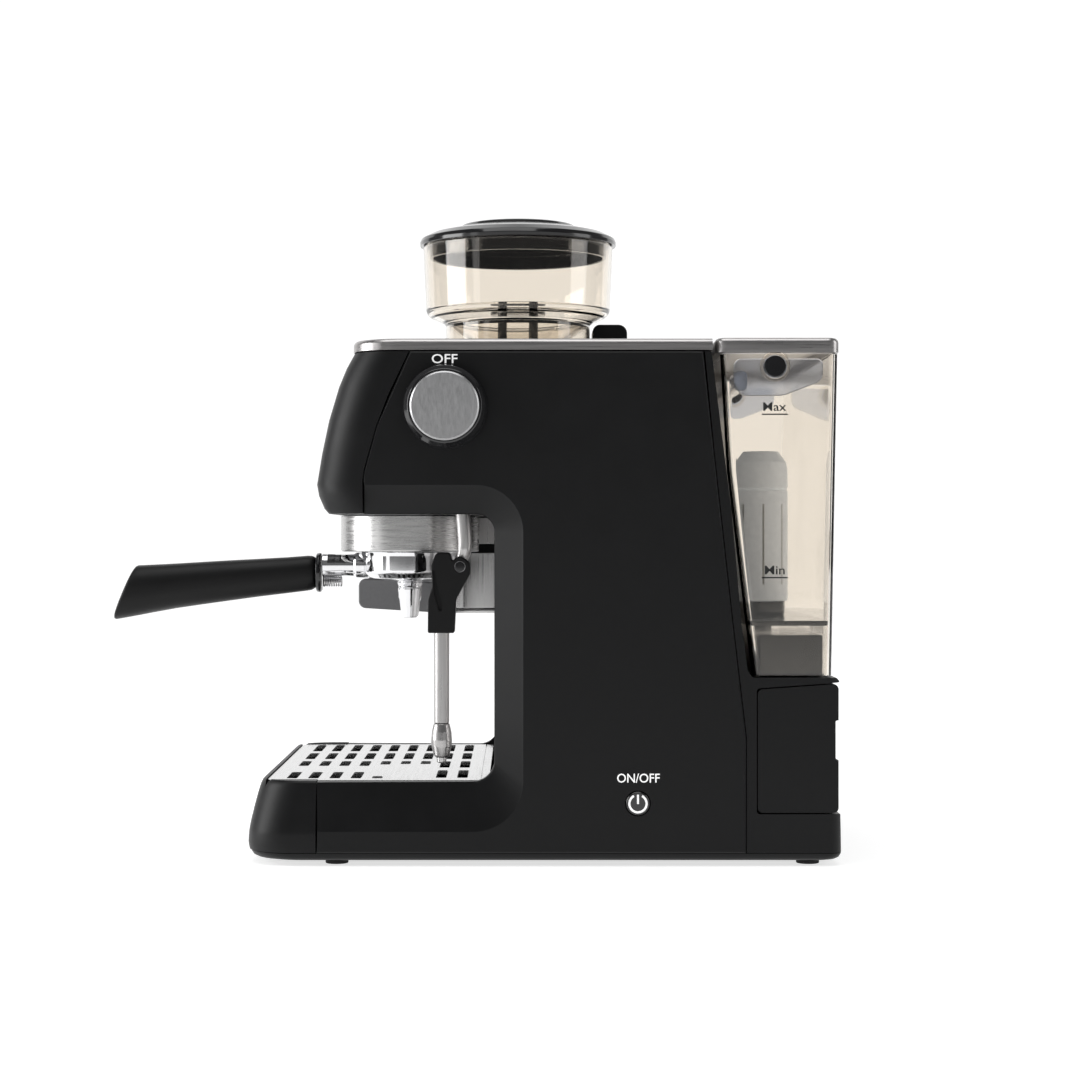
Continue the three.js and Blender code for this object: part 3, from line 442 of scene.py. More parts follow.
# Painted light: the white print is given its own glow so it looks brighter than the lamps light it.
glow(PRINT_WHITE_PAINTED_GLOW, (1, 1, 1), 0.4)
PRINT_BLACK = plain("print_black", (0.01, 0.01, 0.01), (0.5, 0.6), 400, 0.02)
DIAL_WHITE = plain("dial_white", (0.70, 0.70, 0.68), (0.5, 0.6), 400, 0.02)
NEEDLE_RED = plain("needle_red", (0.45, 0.02, 0.015), (0.35, 0.45), 300, 0.02)
MIRROR_STEEL = brushed("steel_mirror", (1, 1, 0.02), (0.62, 0.615, 0.61), (0.1, 0.2), 0.05)
ARM_GREY = plain("arm_grey", (0.20, 0.20, 0.205), (0.38, 0.5), 600, 0.08, 0.6)
# Painted shade: a near-black matte colour for the recessed outlet waist, standing in for the shade in the
# gap there.
GAP_PAINTED_SHADE = plain("gap_painted_shade", (0.003, 0.003, 0.003), (0.8, 0.9), 300, 0.02)


# ---------- carried-over nodes keep their shape and get these materials ----------

CARRIED = {
    "group_gasket": RUBBER, "shower_screen": STEEL_RING, "boiler": CAST, "pump": BRASS,
    "grinder_motor": CAST, "inner_frame": CAST, "steam_valve": BRASS, "upper_burr": CAST,
    "inner_burr": CAST, "burr_gear": BRASS, "motor_pinion": CAST, "group_head": CAST,
    "drip_tray": BLACK, "head_underside_panel": BLACK, "power_inlet": BLACK,
    "filter_basket": STEEL_RING, "column_front_panel": STEEL_UP, "grinder_housing": GLOSS,
}
for node_name, node_material in CARRIED.items():
    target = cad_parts[node_name]
    target.data.materials.clear()
    target.data.materials.append(node_material)


# ---------- side covers ----------

BEVEL = 17.5
COLUMN_Y = -15


def cover_corners(border, trim):
    radius = 11 + border
    share = border / BEVEL
    tray_z = DECK_Z - trim + (CREASE_Z - DECK_Z + trim) * share
    return [
        (-66 + trim, COVER_TOP_Z - trim), (-86.2 + trim, 264.9, 40), (-94 + trim, 236, 30),
        (-94 + trim, HEAD_Z + border), (COLUMN_Y + border, HEAD_Z + border, radius),
        (COLUMN_Y + border, 92, 30), (COLUMN_Y + border, tray_z, 13 + 17 * share),
        (TRAY_SEAM_Y + trim, tray_z), (TRAY_SEAM_Y + trim, 8 + trim), (136.8 - trim, 8 + trim),
        (136.8 - trim, 78, 20), (128.4 - trim, 149.5), (117.5 - trim, 248.6),
        (111 - trim, COVER_TOP_Z - trim),
    ]


COVER_EDGE_X = [139, 139, 139, 127.5, 127.5, 127.5, 131, 134.5, 139.2, 139.2, 139, 139, 139, 139]
COVER_STEPS = 10


def cover_ring(corners, depths):
    owners = [i for i, c in enumerate(corners) for _ in range(COVER_STEPS + 1 if len(c) > 2 else 1)]
    outline = rounded(corners, COVER_STEPS)
    return [Vector((depths[owner], p.x, p.y)) for owner, p in zip(owners, outline)]


def side_cover(name, sign):
    inner = cover_ring(cover_corners(0, 0), [125.0] * 14)
    edge = cover_ring(cover_corners(0, 0), COVER_EDGE_X)
    lip = cover_ring(cover_corners(0.5, 0.15), [x + (HALF - x) * 0.06 for x in COVER_EDGE_X])
    slope = cover_ring(
        cover_corners(BEVEL - 0.9, 0.9), [HALF - (HALF - x) * 0.06 for x in COVER_EDGE_X])
    face = cover_ring(cover_corners(BEVEL, 1.2), [HALF] * 14)
    rings = [inner, edge, lip, slope, face]
    cover = loft(name, [[Vector((sign * p.x, p.y, p.z)) for p in ring] for ring in rings], crease=12)
    return cover


def pocket(centre, axis, radius, depth_from, depth_to):
    return lathe("pocket", [(0, depth_from), (radius, depth_from), (radius, depth_to), (0, depth_to)],
                 centre, axis, radius=0)


right_cover = side_cover("right_side_shell", 1)
carve(
    right_cover,
    pocket((HALF, KNOB.y, KNOB.z), (1, 0, 0), 7, -20, 5),
    pocket((HALF, POWER.y, POWER.z), (1, 0, 0), 7.75, -20, 5),
    crease=12,
)
finish_piece(right_cover, BLACK, "black_plastic", "machine", "right_side_cover")
left_cover = side_cover("left_side_shell", -1)
finish_piece(left_cover, BLACK, "black_plastic", "machine", "left_side_cover")


# ---------- head, top plate and tray front ----------

HEAD_PROFILE = [
    (-116.6, 212.8), (-119.3, 215.9), (-122.6, 223.5), (-123.9, 230.6), (-120.8, 249.5),
    (-116.6, 269.5), (-110.4, 290.3), (-105.8, 301.5), (-100.8, 310.6),
]


def front_shell(name, profile, halves, back, radius):
    rings = []
    for (front, z), half in zip(profile, halves):
        corners = [(half, back), (half, front, radius), (-half, front, radius), (-half, back)]
        rings.append(flat_ring(corners, z, 12))
    return loft(name, rings, crease=40)


def panel_point(x, z):
    """The point of the sloped front panel at width x and height z."""
    return Vector((x, -124.3 + (z - 236) * math.tan(PANEL_TILT), z))


def box_tool(x0, x1, y0, y1, z0, z1):
    return prism("box", "z", rectangle(x0, x1, y0, y1), z0, z1)


def rod_tool(x, y, radius, z0, z1):
    return lathe("rod", [(0, z0), (radius, z0), (radius, z1), (0, z1)], (x, y, 0), radius=0)


GAUGE = panel_point(0, 266)
BUTTONS = [("one_cup", 46), ("two_cup", 76), ("grind", -76)]
HEAD_GAP = 0.35
seam_tool = prism("behind_seam", "x", [
    (-94 - HEAD_GAP, 200), (-94 - HEAD_GAP, 233), (-92.9 - HEAD_GAP, 240), (-86 - HEAD_GAP, 264.9),
    (-78.3 - HEAD_GAP, 284.9), (-66 - HEAD_GAP, COVER_TOP_Z), (-66 - HEAD_GAP, 340), (0, 340), (0, 200),
], -160, 160)
head_front = front_shell(
    "head_front_shell", HEAD_PROFILE, [HALF - 0.3] * len(HEAD_PROFILE), -40, CORNER_R)
carve(
    head_front, seam_tool, pocket(GAUGE, PANEL_NORMAL, 22.4, -12, 20),
    rod_tool(GROUP.x, GROUP.y, 45.2, 200, 216),
    *(pocket(panel_point(x, 262), PANEL_NORMAL, 9.8, -12, 20) for _, x in BUTTONS),
    crease=30,
)
finish_piece(head_front, BLACK, "black_plastic", "machine", "head_front_cover")

# Front line of the tray at each height, and its half width there.
TRAY_PROFILE = [
    (-165.2, 8.1), (-165.9, 12.5), (-165.5, 18.6), (-165.2, 21), (-164.3, 26), (-161.9, 36.2),
    (-159.9, 43.8), (-158.7, 47.6), (-157.6, 49.9), (-156.6, 51),
]
TRAY_HALVES = [139.3, 139.6, 139.6, 139.5, 138.6, 136.9, 135.6, 135, 134.5, 133.4]
tray_front = front_shell("tray_front_shell", TRAY_PROFILE, TRAY_HALVES, -95, CORNER_R)
carve(
    tray_front, box_tool(-123, 123, -154.6, 0, 0, 80), box_tool(-200, 200, TRAY_SEAM_Y - 0.35, 0, 0, 80),
    crease=30,
)
finish_piece(tray_front, BLACK, "black_plastic", "tray", "tray_front_cover")


def top_ring(z, trim):
    half, front = HALF - 1 - trim, -101.5 + trim
    corners = [(half, 116.8), (half, front, CORNER_R), (-half, front, CORNER_R), (-half, 116.8)]
    return flat_ring(corners, z, 12)


top_plate = loft("top_plate_metal", [
    top_ring(z, trim) for z, trim in (
        (311, 0.8), (311.5, 0), (315.2, 0), (316.5, 0.3), (317.5, 0.9), (318.2, 1.9), (TOP_Z, 3.4))
], crease=35)
carve(
    top_plate, rod_tool(GRINDER.x, GRINDER.y, 54.3, 300, 330),
    prism("slot", "z", rectangle(GRINDER.x - 13.2, GRINDER.x + 13.2, 47, 74.6, 3), 300, 330),
    crease=35,
)
finish_piece(top_plate, STEEL_Y, "brushed_steel", "machine", "top_plate")


# ---------- base, feet and rear housing ----------

BASE_TOP_Z = 7.7


def base_corners(trim):
    half, front, rear = HALF - 1 - trim, BASE_FRONT_Y + 1.5 + trim, REAR_Y + 1.5 - trim
    radius = CORNER_R - 1
    return [(half, rear, 8), (half, front, radius), (-half, front, radius), (-half, rear, 8)]


base = loft("base_shell", [
    flat_ring(base_corners(trim), z, 10) for z, trim in (
        (2.6, 9.5), (3.0, 6.2), (3.7, 3.2), (5.0, 1.2), (6.6, 0.3), (BASE_TOP_Z, 0))
], crease=35)
finish_piece(base, BLACK, "black_plastic", "machine", "base_plate")
for end, y in (("front", -111), ("rear", 176)):
    for side, sign in (("right", 1), ("left", -1)):
        foot = lathe(f"foot_pad_{end}_{side}", [(0, 0), (7, 0), (7, 2.4), (0, 2.4)], (sign * 122, y, 0),
                     segments=40)
        finish_piece(foot, RUBBER, "rubber", "machine", f"foot_{end}_{side}")

rear_section = [
    (112, COVER_TOP_Z), (116, COVER_TOP_Z, 1), (121.7, 265, 60), (128.1, 214, 60), (133.8, 149.5, 60),
    (137.8, 118, 8), (140.6, 113.8, 3), (191.7, 113.7, 1.6), (REAR_Y, 111.6, 0.6), (REAR_Y, 110.9, 0.5),
    (143.3, 107.3, 2), (143.3, 31.5, 2), (REAR_Y + 0.8, 31.5, 1), (REAR_Y + 1.5, 8),
    (137.3, 8), (137.3, 78), (128.9, 149.5), (118, 248.6),
]
rear_housing = prism("rear_housing_shell", "x", rear_section, -HALF + 0.8, HALF - 0.8, steps=5, crease=28)
plan_tool = prism("plan", "z", base_corners(-0.1), -5, 400, steps=10)
carve(rear_housing, plan_tool, operation="INTERSECT", crease=28)
carve(
    rear_housing, prism("inlet_cut", "y", rectangle(-108, -84, 12, 28, 2), 170, 200, steps=4),
    crease=28,
)
finish_piece(rear_housing, BLACK, "black_plastic", "machine", "rear_housing")

DRAWER_Y = 144.0
drawer_section = [
    (DRAWER_Y, 32.3, 3), (REAR_Y - 0.8, 32.3, 3), (REAR_Y - 0.8, 110, 3), (DRAWER_Y, 106.6, 3),
]
drawer = prism("drawer_shell", "x", drawer_section, -HALF + 1.4, HALF - 1.4, steps=6)
carve(
    drawer,
    box_tool(-136, 136, DRAWER_Y + 2.5, REAR_Y - 14, 34.8, 130),
    prism("grip", "x", [(REAR_Y - 10, 64, 3), (REAR_Y + 9, 64), (REAR_Y + 9, 88), (REAR_Y - 10, 88, 3)],
          -36, 36),
    prism("groove", "x", [(REAR_Y - 2.6, 64, 1), (REAR_Y + 9, 64), (REAR_Y + 9, 88), (REAR_Y - 2.6, 88, 1)],
          -150, 150),
)
bevel(drawer, 0.8, 2)
finish_piece(drawer, BLACK, "black_plastic", "drawer", "storage_drawer")


# ---------- grill ----------

SLOT_PITCH = 13.1
grill = prism("grill_sheet", "z", rectangle(-122, 122, -153.8, -18.2, 8), DECK_Z - 3, DECK_Z, steps=10)
LEFT_SLOTS = [(-116, -68), (-54, -12)]
FRONT_SLOTS = [(2, 34), (73, 111)]
SLOTS_BEFORE_PATCH = [(2, 25), (98, 111)]
SLOTS_AT_PATCH = [(2, 22)]
REAR_SLOTS = [(3, 45), (62, 108)]
RIGHT_SLOTS = [FRONT_SLOTS] * 4 + [SLOTS_BEFORE_PATCH] + [SLOTS_AT_PATCH] * 2 + [REAR_SLOTS] * 2
slot_points, slot_faces = [], []
for column, right_slots in enumerate(RIGHT_SLOTS):
    y = -139.8 + column * SLOT_PITCH
    for x_from, x_to in LEFT_SLOTS + right_slots:
        corners = rectangle(x_from, x_to, y - 3.2, y + 3.2, 1.2)
        outline = [flat_ring(corners, z, 5) for z in (40, 60)]
        points, faces = loft_data(outline)
        slot_faces += [tuple(i + len(slot_points) for i in face) for face in faces]
        slot_points += points
carve(
    grill, new_mesh("slots", slot_points, slot_faces),
    box_tool(-130, 130, -23.4, -22.7, DECK_Z - 0.8, DECK_Z + 1),
)
bevel(grill, 0.35, 2, 40)
finish_piece(grill, GRILL_STEEL, "brushed_steel", "grill", "drip_grill")


# ---------- group and portafilter ----------

COLLAR_Z = 189.3
group_at = (GROUP.x, GROUP.y, 0)
collar = lathe("group_collar_ring", [
    (41.2, COLLAR_Z + 2.4), (42.1, COLLAR_Z, 0.6), (44.5, COLLAR_Z, 1.4), (44.5, HEAD_Z - 0.4, 0.4),
    (41.2, HEAD_Z - 0.4, 0.3),
], group_at, segments=128, closed=True)
finish_piece(collar, STEEL_RING, "brushed_steel", "machine", "group_collar")

PORTAFILTER_Z = 172.4
portafilter = lathe("portafilter_cup", [
    (0, 176.2), (27.4, 176.2), (28, 195), (29.6, 196), (29.6, 201.9), (33.4, 201.9), (33.4, 190.6),
    (31, 188.6, 1.2), (30.5, 186.6, 1.5), (30.5, PORTAFILTER_Z + 3.4, 3), (25, PORTAFILTER_Z - 0.3, 5),
    (11.5, PORTAFILTER_Z - 2.4, 3), (8.6, PORTAFILTER_Z - 2.8, 1), (0, PORTAFILTER_Z - 2.8),
], group_at, segments=128)
finish_piece(portafilter, CHROME, "chrome", "portafilter", "portafilter_body")

LUG_HALF = math.radians(17)
for name, angle in (("right", 0), ("left", math.pi)):
    arc = [angle + LUG_HALF * (k / 6 - 1) for k in range(13)]
    corners = [(GROUP.x + 37 * math.cos(a), GROUP.y + 37 * math.sin(a)) for a in arc]
    corners += [(GROUP.x + 33 * math.cos(a), GROUP.y + 33 * math.sin(a)) for a in reversed(arc)]
    lug = prism(f"portafilter_lug_{name}", "z", corners, 197, 201.5)
    bevel(lug, 0.6, 2)
    finish_piece(lug, CHROME, "chrome", "portafilter")

neck = lathe("portafilter_neck", [
    (0, -4), (8.2, -4), (8.2, 3.6, 1.2), (7.1, 5.2, 1.2), (6.9, 10, 3), (7.1, 17, 3), (7.6, 22, 2),
    (7.7, 25.4, 0.4), (0, 25.4),
], (GROUP.x, GROUP.y - 31, 180.4), (0, -1, 0), segments=80)
finish_piece(neck, CHROME, "chrome", "portafilter")
THREAD_PITCH = 1.5
thread = [(0, 0)]
for turn in range(8):
    thread += [(3.1, turn * THREAD_PITCH, 0.1), (3.65, (turn + 0.5) * THREAD_PITCH, 0.2)]
thread += [(3.1, 12.2, 0.1), (0, 12.4)]
stud = lathe("portafilter_stud", thread, (GROUP.x, -114.4, 169.9), (0, -1, 0), segments=40)
finish_piece(stud, CHROME, "chrome", "portafilter")

SPOUT_SPREAD = 10
spout_hub = lathe("spout_hub", [
    (0, 157.5), (6.6, 157.5, 1.5), (7.6, 160, 1.5), (7.6, 167, 1), (8.6, 169.8, 1), (0, 169.8),
], group_at, segments=56)
finish_piece(spout_hub, CHROME, "chrome", "portafilter", "portafilter_spout")
for name, sign in (("right", 1), ("left", -1)):
    x = GROUP.x + sign * SPOUT_SPREAD
    leg = lathe(f"spout_leg_{name}", [
        (2.5, 157), (2.5, 147.2), (4.7, 147, 0.3), (5, 148, 0.6), (6.6, 160, 4), (7.4, 165.4, 1.2),
        (6.8, 166.5, 0.5), (0, 166.6),
    ], (x, GROUP.y, 0), segments=56)
    finish_piece(leg, CHROME, "chrome", "portafilter")
    arm = tube(f"spout_arm_{name}", [
        (GROUP.x, GROUP.y, 163.4), (GROUP.x + sign * 5, GROUP.y, 163), (x, GROUP.y, 161.2),
    ], [5.0, 4.8, 4.4], rings=12, sides=32)
    finish_piece(arm, CHROME, "chrome", "portafilter")

ferrule = lathe("handle_ferrule_ring", [
    (0, 0.3), (11.4, 0.3, 0.4), (12.6, 1.1, 0.9), (12.8, 2.2, 0.9), (12.4, 3.6, 0.7),
    (11.4, 4.2, 0.4), (0, 4.3),
], (GROUP.x, -126.8, 175.7), (0, -1, 0), segments=88)
finish_piece(ferrule, GLOSS, "black_plastic", "portafilter", "handle_ferrule")

# Handle sections: distance along -Y, centre height, half width, half height.
HANDLE_SECTIONS = [
    (0, 175.7, 9.4, 9.4), (0.8, 175.7, 10.2, 10.2), (2.4, 175.5, 11, 11), (5, 175.3, 11.3, 11.3),
    (18, 174.0, 11.6, 11.6), (36, 172.4, 12, 12.2), (54, 170.7, 12.5, 13), (72, 168.9, 13.1, 13.8),
    (88, 167.2, 13.6, 14.6), (100, 165.7, 13.95, 15.5), (110, 164.4, 14.2, 16.4), (118, 163.4, 14.3, 17.1),
    (121.4, 163, 14.25, 17.4), (122.6, 162.9, 13.7, 16.9), (123.2, 162.8, 12.4, 15.7),
]
HANDLE_Y0 = -131.4
TIP_SHEAR = 0.42


def handle_ring(section):
    along, z, half_width, half_height = section
    shear = TIP_SHEAR * (along / HANDLE_SECTIONS[-1][0]) ** 3
    ring = []
    for k in range(64):
        c, s = math.cos(2 * math.pi * k / 64), math.sin(2 * math.pi * k / 64)
        rise = half_height * math.copysign(abs(s) ** 0.84, s)
        run = half_width * math.copysign(abs(c) ** 0.84, c)
        ring.append(Vector((GROUP.x + run, HANDLE_Y0 - along + shear * rise, z + rise)))
    return ring


handle = loft("portafilter_grip", [handle_ring(section) for section in HANDLE_SECTIONS], crease=50)
finish_piece(handle, GRIP_BLACK, "black_plastic", "portafilter", "portafilter_handle")


# ---------- grinder outlet and cradle ----------

CHUTE_Y = GRINDER.y - 34


def outlet_part(name, half, front, radius, z0, z1, material):
    corners = [
        (GRINDER.x - half, -13.8), (GRINDER.x - half, front, radius),
        (GRINDER.x + half, front, radius), (GRINDER.x + half, -13.8),
    ]
    part = prism(name, "z", corners, z0, z1, steps=16)
    carve(part, rod_tool(GRINDER.x, CHUTE_Y, 13, z0 - 5, z1 + 5))
    bevel(part, 0.7, 3, 50)
    return finish_piece(part, material, "brushed_steel", "machine")


OUTLET_HALF = 36.4
outlet = outlet_part("outlet_chute", OUTLET_HALF, -60, 24, 150.6, 188.4, MIRROR_STEEL)
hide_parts("grinder_outlet")
# The waist between the chute and the upper part is painted shade: near-black matte instead of steel.
outlet_part("outlet_waist", 26, -54, 20, 188.2, 194, GAP_PAINTED_SHADE)
outlet_part("outlet_upper", 29, -58, 23, 193.8, HEAD_Z - 0.4, STEEL_UP)

ARM_BACK_Y = -52
cradle = prism("cradle_plate", "z", rectangle(
    GRINDER.x - OUTLET_HALF, GRINDER.x + OUTLET_HALF, ARM_BACK_Y - 2, -14.2), 147.6, 150.2)
carve(cradle, rod_tool(GRINDER.x, CHUTE_Y, 13.6, 140, 160))
bevel(cradle, 0.4, 2)
finish_piece(cradle, MIRROR_STEEL, "brushed_steel", "machine", "portafilter_cradle")
cradle_side = [(ARM_BACK_Y, 147.6), (-108, 151, 5), (-108, 171, 5), (ARM_BACK_Y, 168)]
for name, sign in (("right", 1), ("left", -1)):
    middle = GRINDER.x + sign * (OUTLET_HALF - 2.4)
    arm = prism(f"cradle_arm_{name}", "x", cradle_side, middle - 2.4, middle + 2.4, steps=10)
    bevel(arm, 0.9, 3, 50)
    finish_piece(arm, ARM_GREY, "brushed_steel", "machine")


# ---------- steam wand ----------

PIVOT = Vector((WAND.x, -36.4, 180.3))
PIPE_Y = -34.6
pipe = tube("steam_pipe_bar", [
    (WAND.x, PIPE_Y, 222), (WAND.x, PIPE_Y, 213), (WAND.x, PIPE_Y + 0.6, 205), (WAND.x, PIPE_Y + 1.1, 198),
    (WAND.x, PIPE_Y + 1.0, 191), (WAND.x, PIPE_Y - 0.4, 185.5), (WAND.x, PIVOT.y, 180.3),
], [4.7, 4.7, 4.7, 4.7, 4.6, 3.6, 3.3], rings=48, sides=36)
finish_piece(pipe, STEEL_UP, "chrome", "steam_arm", "steam_pipe")
pipe_ball = lathe("steam_pipe_ball", [
    (0, -3.4), (3.6, -3.4, 0.5), (5.8, -1.6, 1.2), (5.8, 1.6, 1.2), (3.6, 3.4, 0.5), (0, 3.4),
], PIVOT, (1, 0, 0), segments=64)
finish_piece(pipe_ball, CHROME, "chrome", "steam_arm")
pipe_pin = lathe("steam_pipe_pin", [(0, -8.6), (3.1, -8.6), (3.1, 8.6), (0, 8.6)], PIVOT, (1, 0, 0),
                 segments=40)
finish_piece(pipe_pin, GLOSS, "chrome", "steam_arm")
pipe_ring = lathe("steam_pipe_ring", [(5, 212.9), (6.4, 212.9, 0.5), (6.4, 215), (5, 215)],
                  (WAND.x, PIPE_Y, 0), segments=48, closed=True)
finish_piece(pipe_ring, GLOSS, "black_plastic", "machine")

GRIP_SIDE = [
    (-56.1, 139.6, 1.2), (-39.7, 139.6, 1.2), (-39.2, 150, 10), (-38.7, 160, 8), (-35.6, 166, 8),
    (-30, 176, 5), (-30.2, 184, 6), (-38, 187.4, 3.4), (-41, 183.2, 0.8), (-42.4, 189, 2.4),
    (-50.9, 189.2, 3.6), (-54, 181.3, 7), (-53.4, 168, 8), (-55.9, 160, 8),
]
SICKLE = [
    (-53.4, 178), (-52.4, 164, 20), (-49.4, 153.4, 1), (-47.4, 152.6, 1), (-47.2, 158, 20), (-50.2, 168, 20),
    (-51.6, 178, 1),
]
grip = prism("steam_grip_shell", "x", GRIP_SIDE, WAND.x - 8, WAND.x + 8, steps=8, crease=35)
bevel(grip, 2.4, 5, 50)
carve(
    grip,
    prism("fork", "z", rectangle(WAND.x - 3.9, WAND.x + 3.9, -70, -20), 173, 200),
    lathe("pin_hole", [(0, -20), (3.5, -20), (3.5, 20), (0, 20)], PIVOT, (1, 0, 0), radius=0),
    *(prism("sickle", "x", SICKLE, WAND.x + sign * 5.6, WAND.x + sign * 12, steps=6) for sign in (1, -1)),
    crease=35,
)
finish_piece(grip, GRIP_BLACK, "black_plastic", "steam_wand", "steam_grip")
WAND_Y = -47.8
wand_at = (WAND.x, WAND_Y, 0)
wand_tube = lathe("steam_tube_pipe", [(0, 84), (4.75, 84, 0.3), (4.75, 140.4, 0.3), (0, 140.4)], wand_at,
                  segments=64)
finish_piece(wand_tube, STEEL_UP, "brushed_steel", "steam_wand", "steam_tube")
nozzle = lathe("steam_nozzle_tip", [
    (0, 62.6), (3.6, 62.6, 0.5), (4.9, 64, 1.5), (6.2, 69.4, 3), (6.5, 73.4, 3), (6.1, 78.6, 3),
    (5.0, 83.2, 1), (4.2, 83.8, 0.3), (0, 83.8),
], wand_at, segments=72)
finish_piece(nozzle, STEEL_UP, "brushed_steel", "steam_wand", "steam_nozzle")
nozzle_end = lathe("steam_nozzle_end", [
    (0, 59.2), (2.2, 59.2, 0.6), (2.9, 60, 0.5), (3.1, 62.8, 0.4), (0, 62.8),
], wand_at, segments=48)
finish_piece(nozzle_end, STEEL_RING, "brushed_steel", "steam_wand")


# ---------- steam knob, power button, gauge and buttons ----------

knob_at = (0, KNOB.y, KNOB.z)
knob_face = HALF + 21.0
knob = lathe("steam_knob_skirt", [
    (0, 124.2), (4, 124.2), (4, 128), (5.8, 128), (5.8, HALF + 0.6), (25.9, HALF + 0.6, 0.3),
    (25.9, HALF + 4.4, 1.2), (24.5, HALF + 15.4, 2.4), (22, HALF + 19.2, 1), (20.9, HALF + 19.3, 0.2),
    (20.9, HALF + 18.4, 0.1), (0, HALF + 18.4),
], knob_at, (1, 0, 0), segments=128)
finish_piece(knob, GLOSS, "gloss_black", "knob", "steam_knob")
cap = lathe("knob_cap_disc", [
    (0, HALF + 18.6), (20.6, HALF + 18.6, 0), (20.6, HALF + 20.1, 0.15), (19.7, knob_face, 0.15),
    (0, knob_face),
], knob_at, (1, 0, 0), segments=160, crease=20)
finish_piece(cap, CAP_METAL, "brushed_steel", "knob", "knob_cap")

power_at = (0, POWER.y, POWER.z)
power = lathe("power_button_cap", [
    (0, 128), (7.2, 128), (7.2, HALF + 0.2, 0.7), (6.6, HALF + 0.8, 0.6), (0, HALF + 0.7),
], power_at, (1, 0, 0), segments=96)
finish_piece(power, GLOSS, "gloss_black", "power", "power_button")


def flat_arc(name, centre, u, v, radius, width, start, end, lift, steps=48):
    """A thin raised band: part of a ring in the plane of u and v, `lift` mm proud."""
    normal = Vector(u).cross(Vector(v)).normalized()
    u, v, centre = Vector(u), Vector(v), Vector(centre)
    points, faces = [], []
    for k in range(steps + 1):
        angle = math.radians(start + (end - start) * k / steps)
        spoke = u * math.cos(angle) + v * math.sin(angle)
        for r in (radius - width / 2, radius + width / 2):
            points += [centre + spoke * r, centre + spoke * r + normal * lift]
    for k in range(steps):
        a, b = 4 * k, 4 * k + 4
        faces += [(a, b, b + 1, a + 1), (a + 1, b + 1, b + 3, a + 3), (a + 3, b + 3, b + 2, a + 2),
                  (a + 2, b + 2, b, a)]
    if abs(end - start) < 359.9:
        last = 4 * steps
        faces += [(0, 1, 3, 2), (last, last + 2, last + 3, last + 1)]
    return new_mesh(name, points, faces, crease=30)


def flat_bar(name, centre, u, v, width, height, lift, turn=0.0):
    """A thin raised rectangle in the plane of u and v."""
    u, v, centre = Vector(u), Vector(v), Vector(centre)
    normal = u.cross(v).normalized()
    c, s = math.cos(math.radians(turn)), math.sin(math.radians(turn))
    a, b = u * c + v * s, v * c - u * s
    ring = [centre + a * (i * width / 2) + b * (j * height / 2) for i, j in
            ((-1, -1), (1, -1), (1, 1), (-1, 1))]
    return loft(name, [ring, [p + normal * lift for p in ring]], crease=30)


Y_AXIS, Z_AXIS = (0, 1, 0), (0, 0, 1)
power_face = (HALF + 0.72, POWER.y, POWER.z)
PRINT = 0.12
finish_piece(
    flat_arc("power_mark_ring", power_face, Y_AXIS, Z_AXIS, 5.2, 1.3, 118, 422, PRINT),
    PRINT_WHITE_PAINTED_GLOW, "white_plastic", "power")
finish_piece(
    flat_bar("power_mark_bar", (power_face[0], POWER.y, POWER.z + 2.6), Y_AXIS, Z_AXIS, 1.2, 5.6, PRINT),
    PRINT_WHITE_PAINTED_GLOW, "white_plastic", "power")


# Pressure gauge: case, dial with generic scale marks, needle and lens.
PANEL_U = Vector((1, 0, 0))
PANEL_V = Vector((0, math.sin(PANEL_TILT), math.cos(PANEL_TILT)))
gauge_case = lathe("gauge_bezel", [
    (0, -10), (21.5, -10), (21.5, 1), (25, 1.6, 0.5), (25, 3.6, 1), (23.6, 5, 1), (21, 5, 0.5),
    (20.4, -1.5, 0.2), (0, -1.5),
], GAUGE, PANEL_NORMAL, segments=128)
finish_piece(gauge_case, CHROME, "brushed_steel", "machine", "gauge_case")
dial = lathe("gauge_dial", [(0, -1.45), (20.2, -1.45), (20.2, -1.1), (0, -1.1)], GAUGE, PANEL_NORMAL,
             segments=96, radius=0)
finish_piece(dial, DIAL_WHITE, "white_plastic", "machine")
dial_face = GAUGE + PANEL_NORMAL * -1.08
for mark in range(11):
    angle = math.radians(225 - 27 * mark)
    spoke = PANEL_U * math.cos(angle) + PANEL_V * math.sin(angle)
    long_mark = mark % 5 == 0
    tick = flat_bar(
        f"gauge_mark_{mark:02d}", dial_face + spoke * 17.2, PANEL_U, PANEL_V,
        4.4 if long_mark else 2.6, 0.8 if long_mark else 0.5, 0.1, math.degrees(angle))
    finish_piece(tick, PRINT_BLACK, "black_plastic", "machine")
arc = flat_arc("gauge_band", dial_face, PANEL_U, PANEL_V, 13.6, 2.2, 36, 144, 0.1, steps=40)
finish_piece(arc, PRINT_BLACK, "black_plastic", "machine")
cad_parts["gauge_needle"].data.materials.clear()
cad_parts["gauge_needle"].data.materials.append(NEEDLE_RED)
lens = lathe("gauge_glass", [(0, 2.2), (20.4, 2.2), (20.4, 3.2, 0.3), (14, 3.9, 4), (0, 4.1)], GAUGE,
             PANEL_NORMAL, segments=96)
finish_piece(lens, LENS, "clear_plastic", "machine", "gauge_lens")


def cup_mark(name, middle, body):
    """A small cup outline: bowl, rim and saucer line."""
    bowl = flat_arc(f"{name}_bowl", middle, PANEL_U, PANEL_V, 1.9, 0.5, 180, 360, PRINT, steps=20)
    rim = flat_bar(f"{name}_rim", middle, PANEL_U, PANEL_V, 4.3, 0.5, PRINT)
    dish = flat_bar(f"{name}_dish", middle - PANEL_V * 2.9, PANEL_U, PANEL_V, 4.8, 0.5, PRINT)
    for part in (bowl, rim, dish):
        finish_piece(part, PRINT_BLACK, "black_plastic", body)


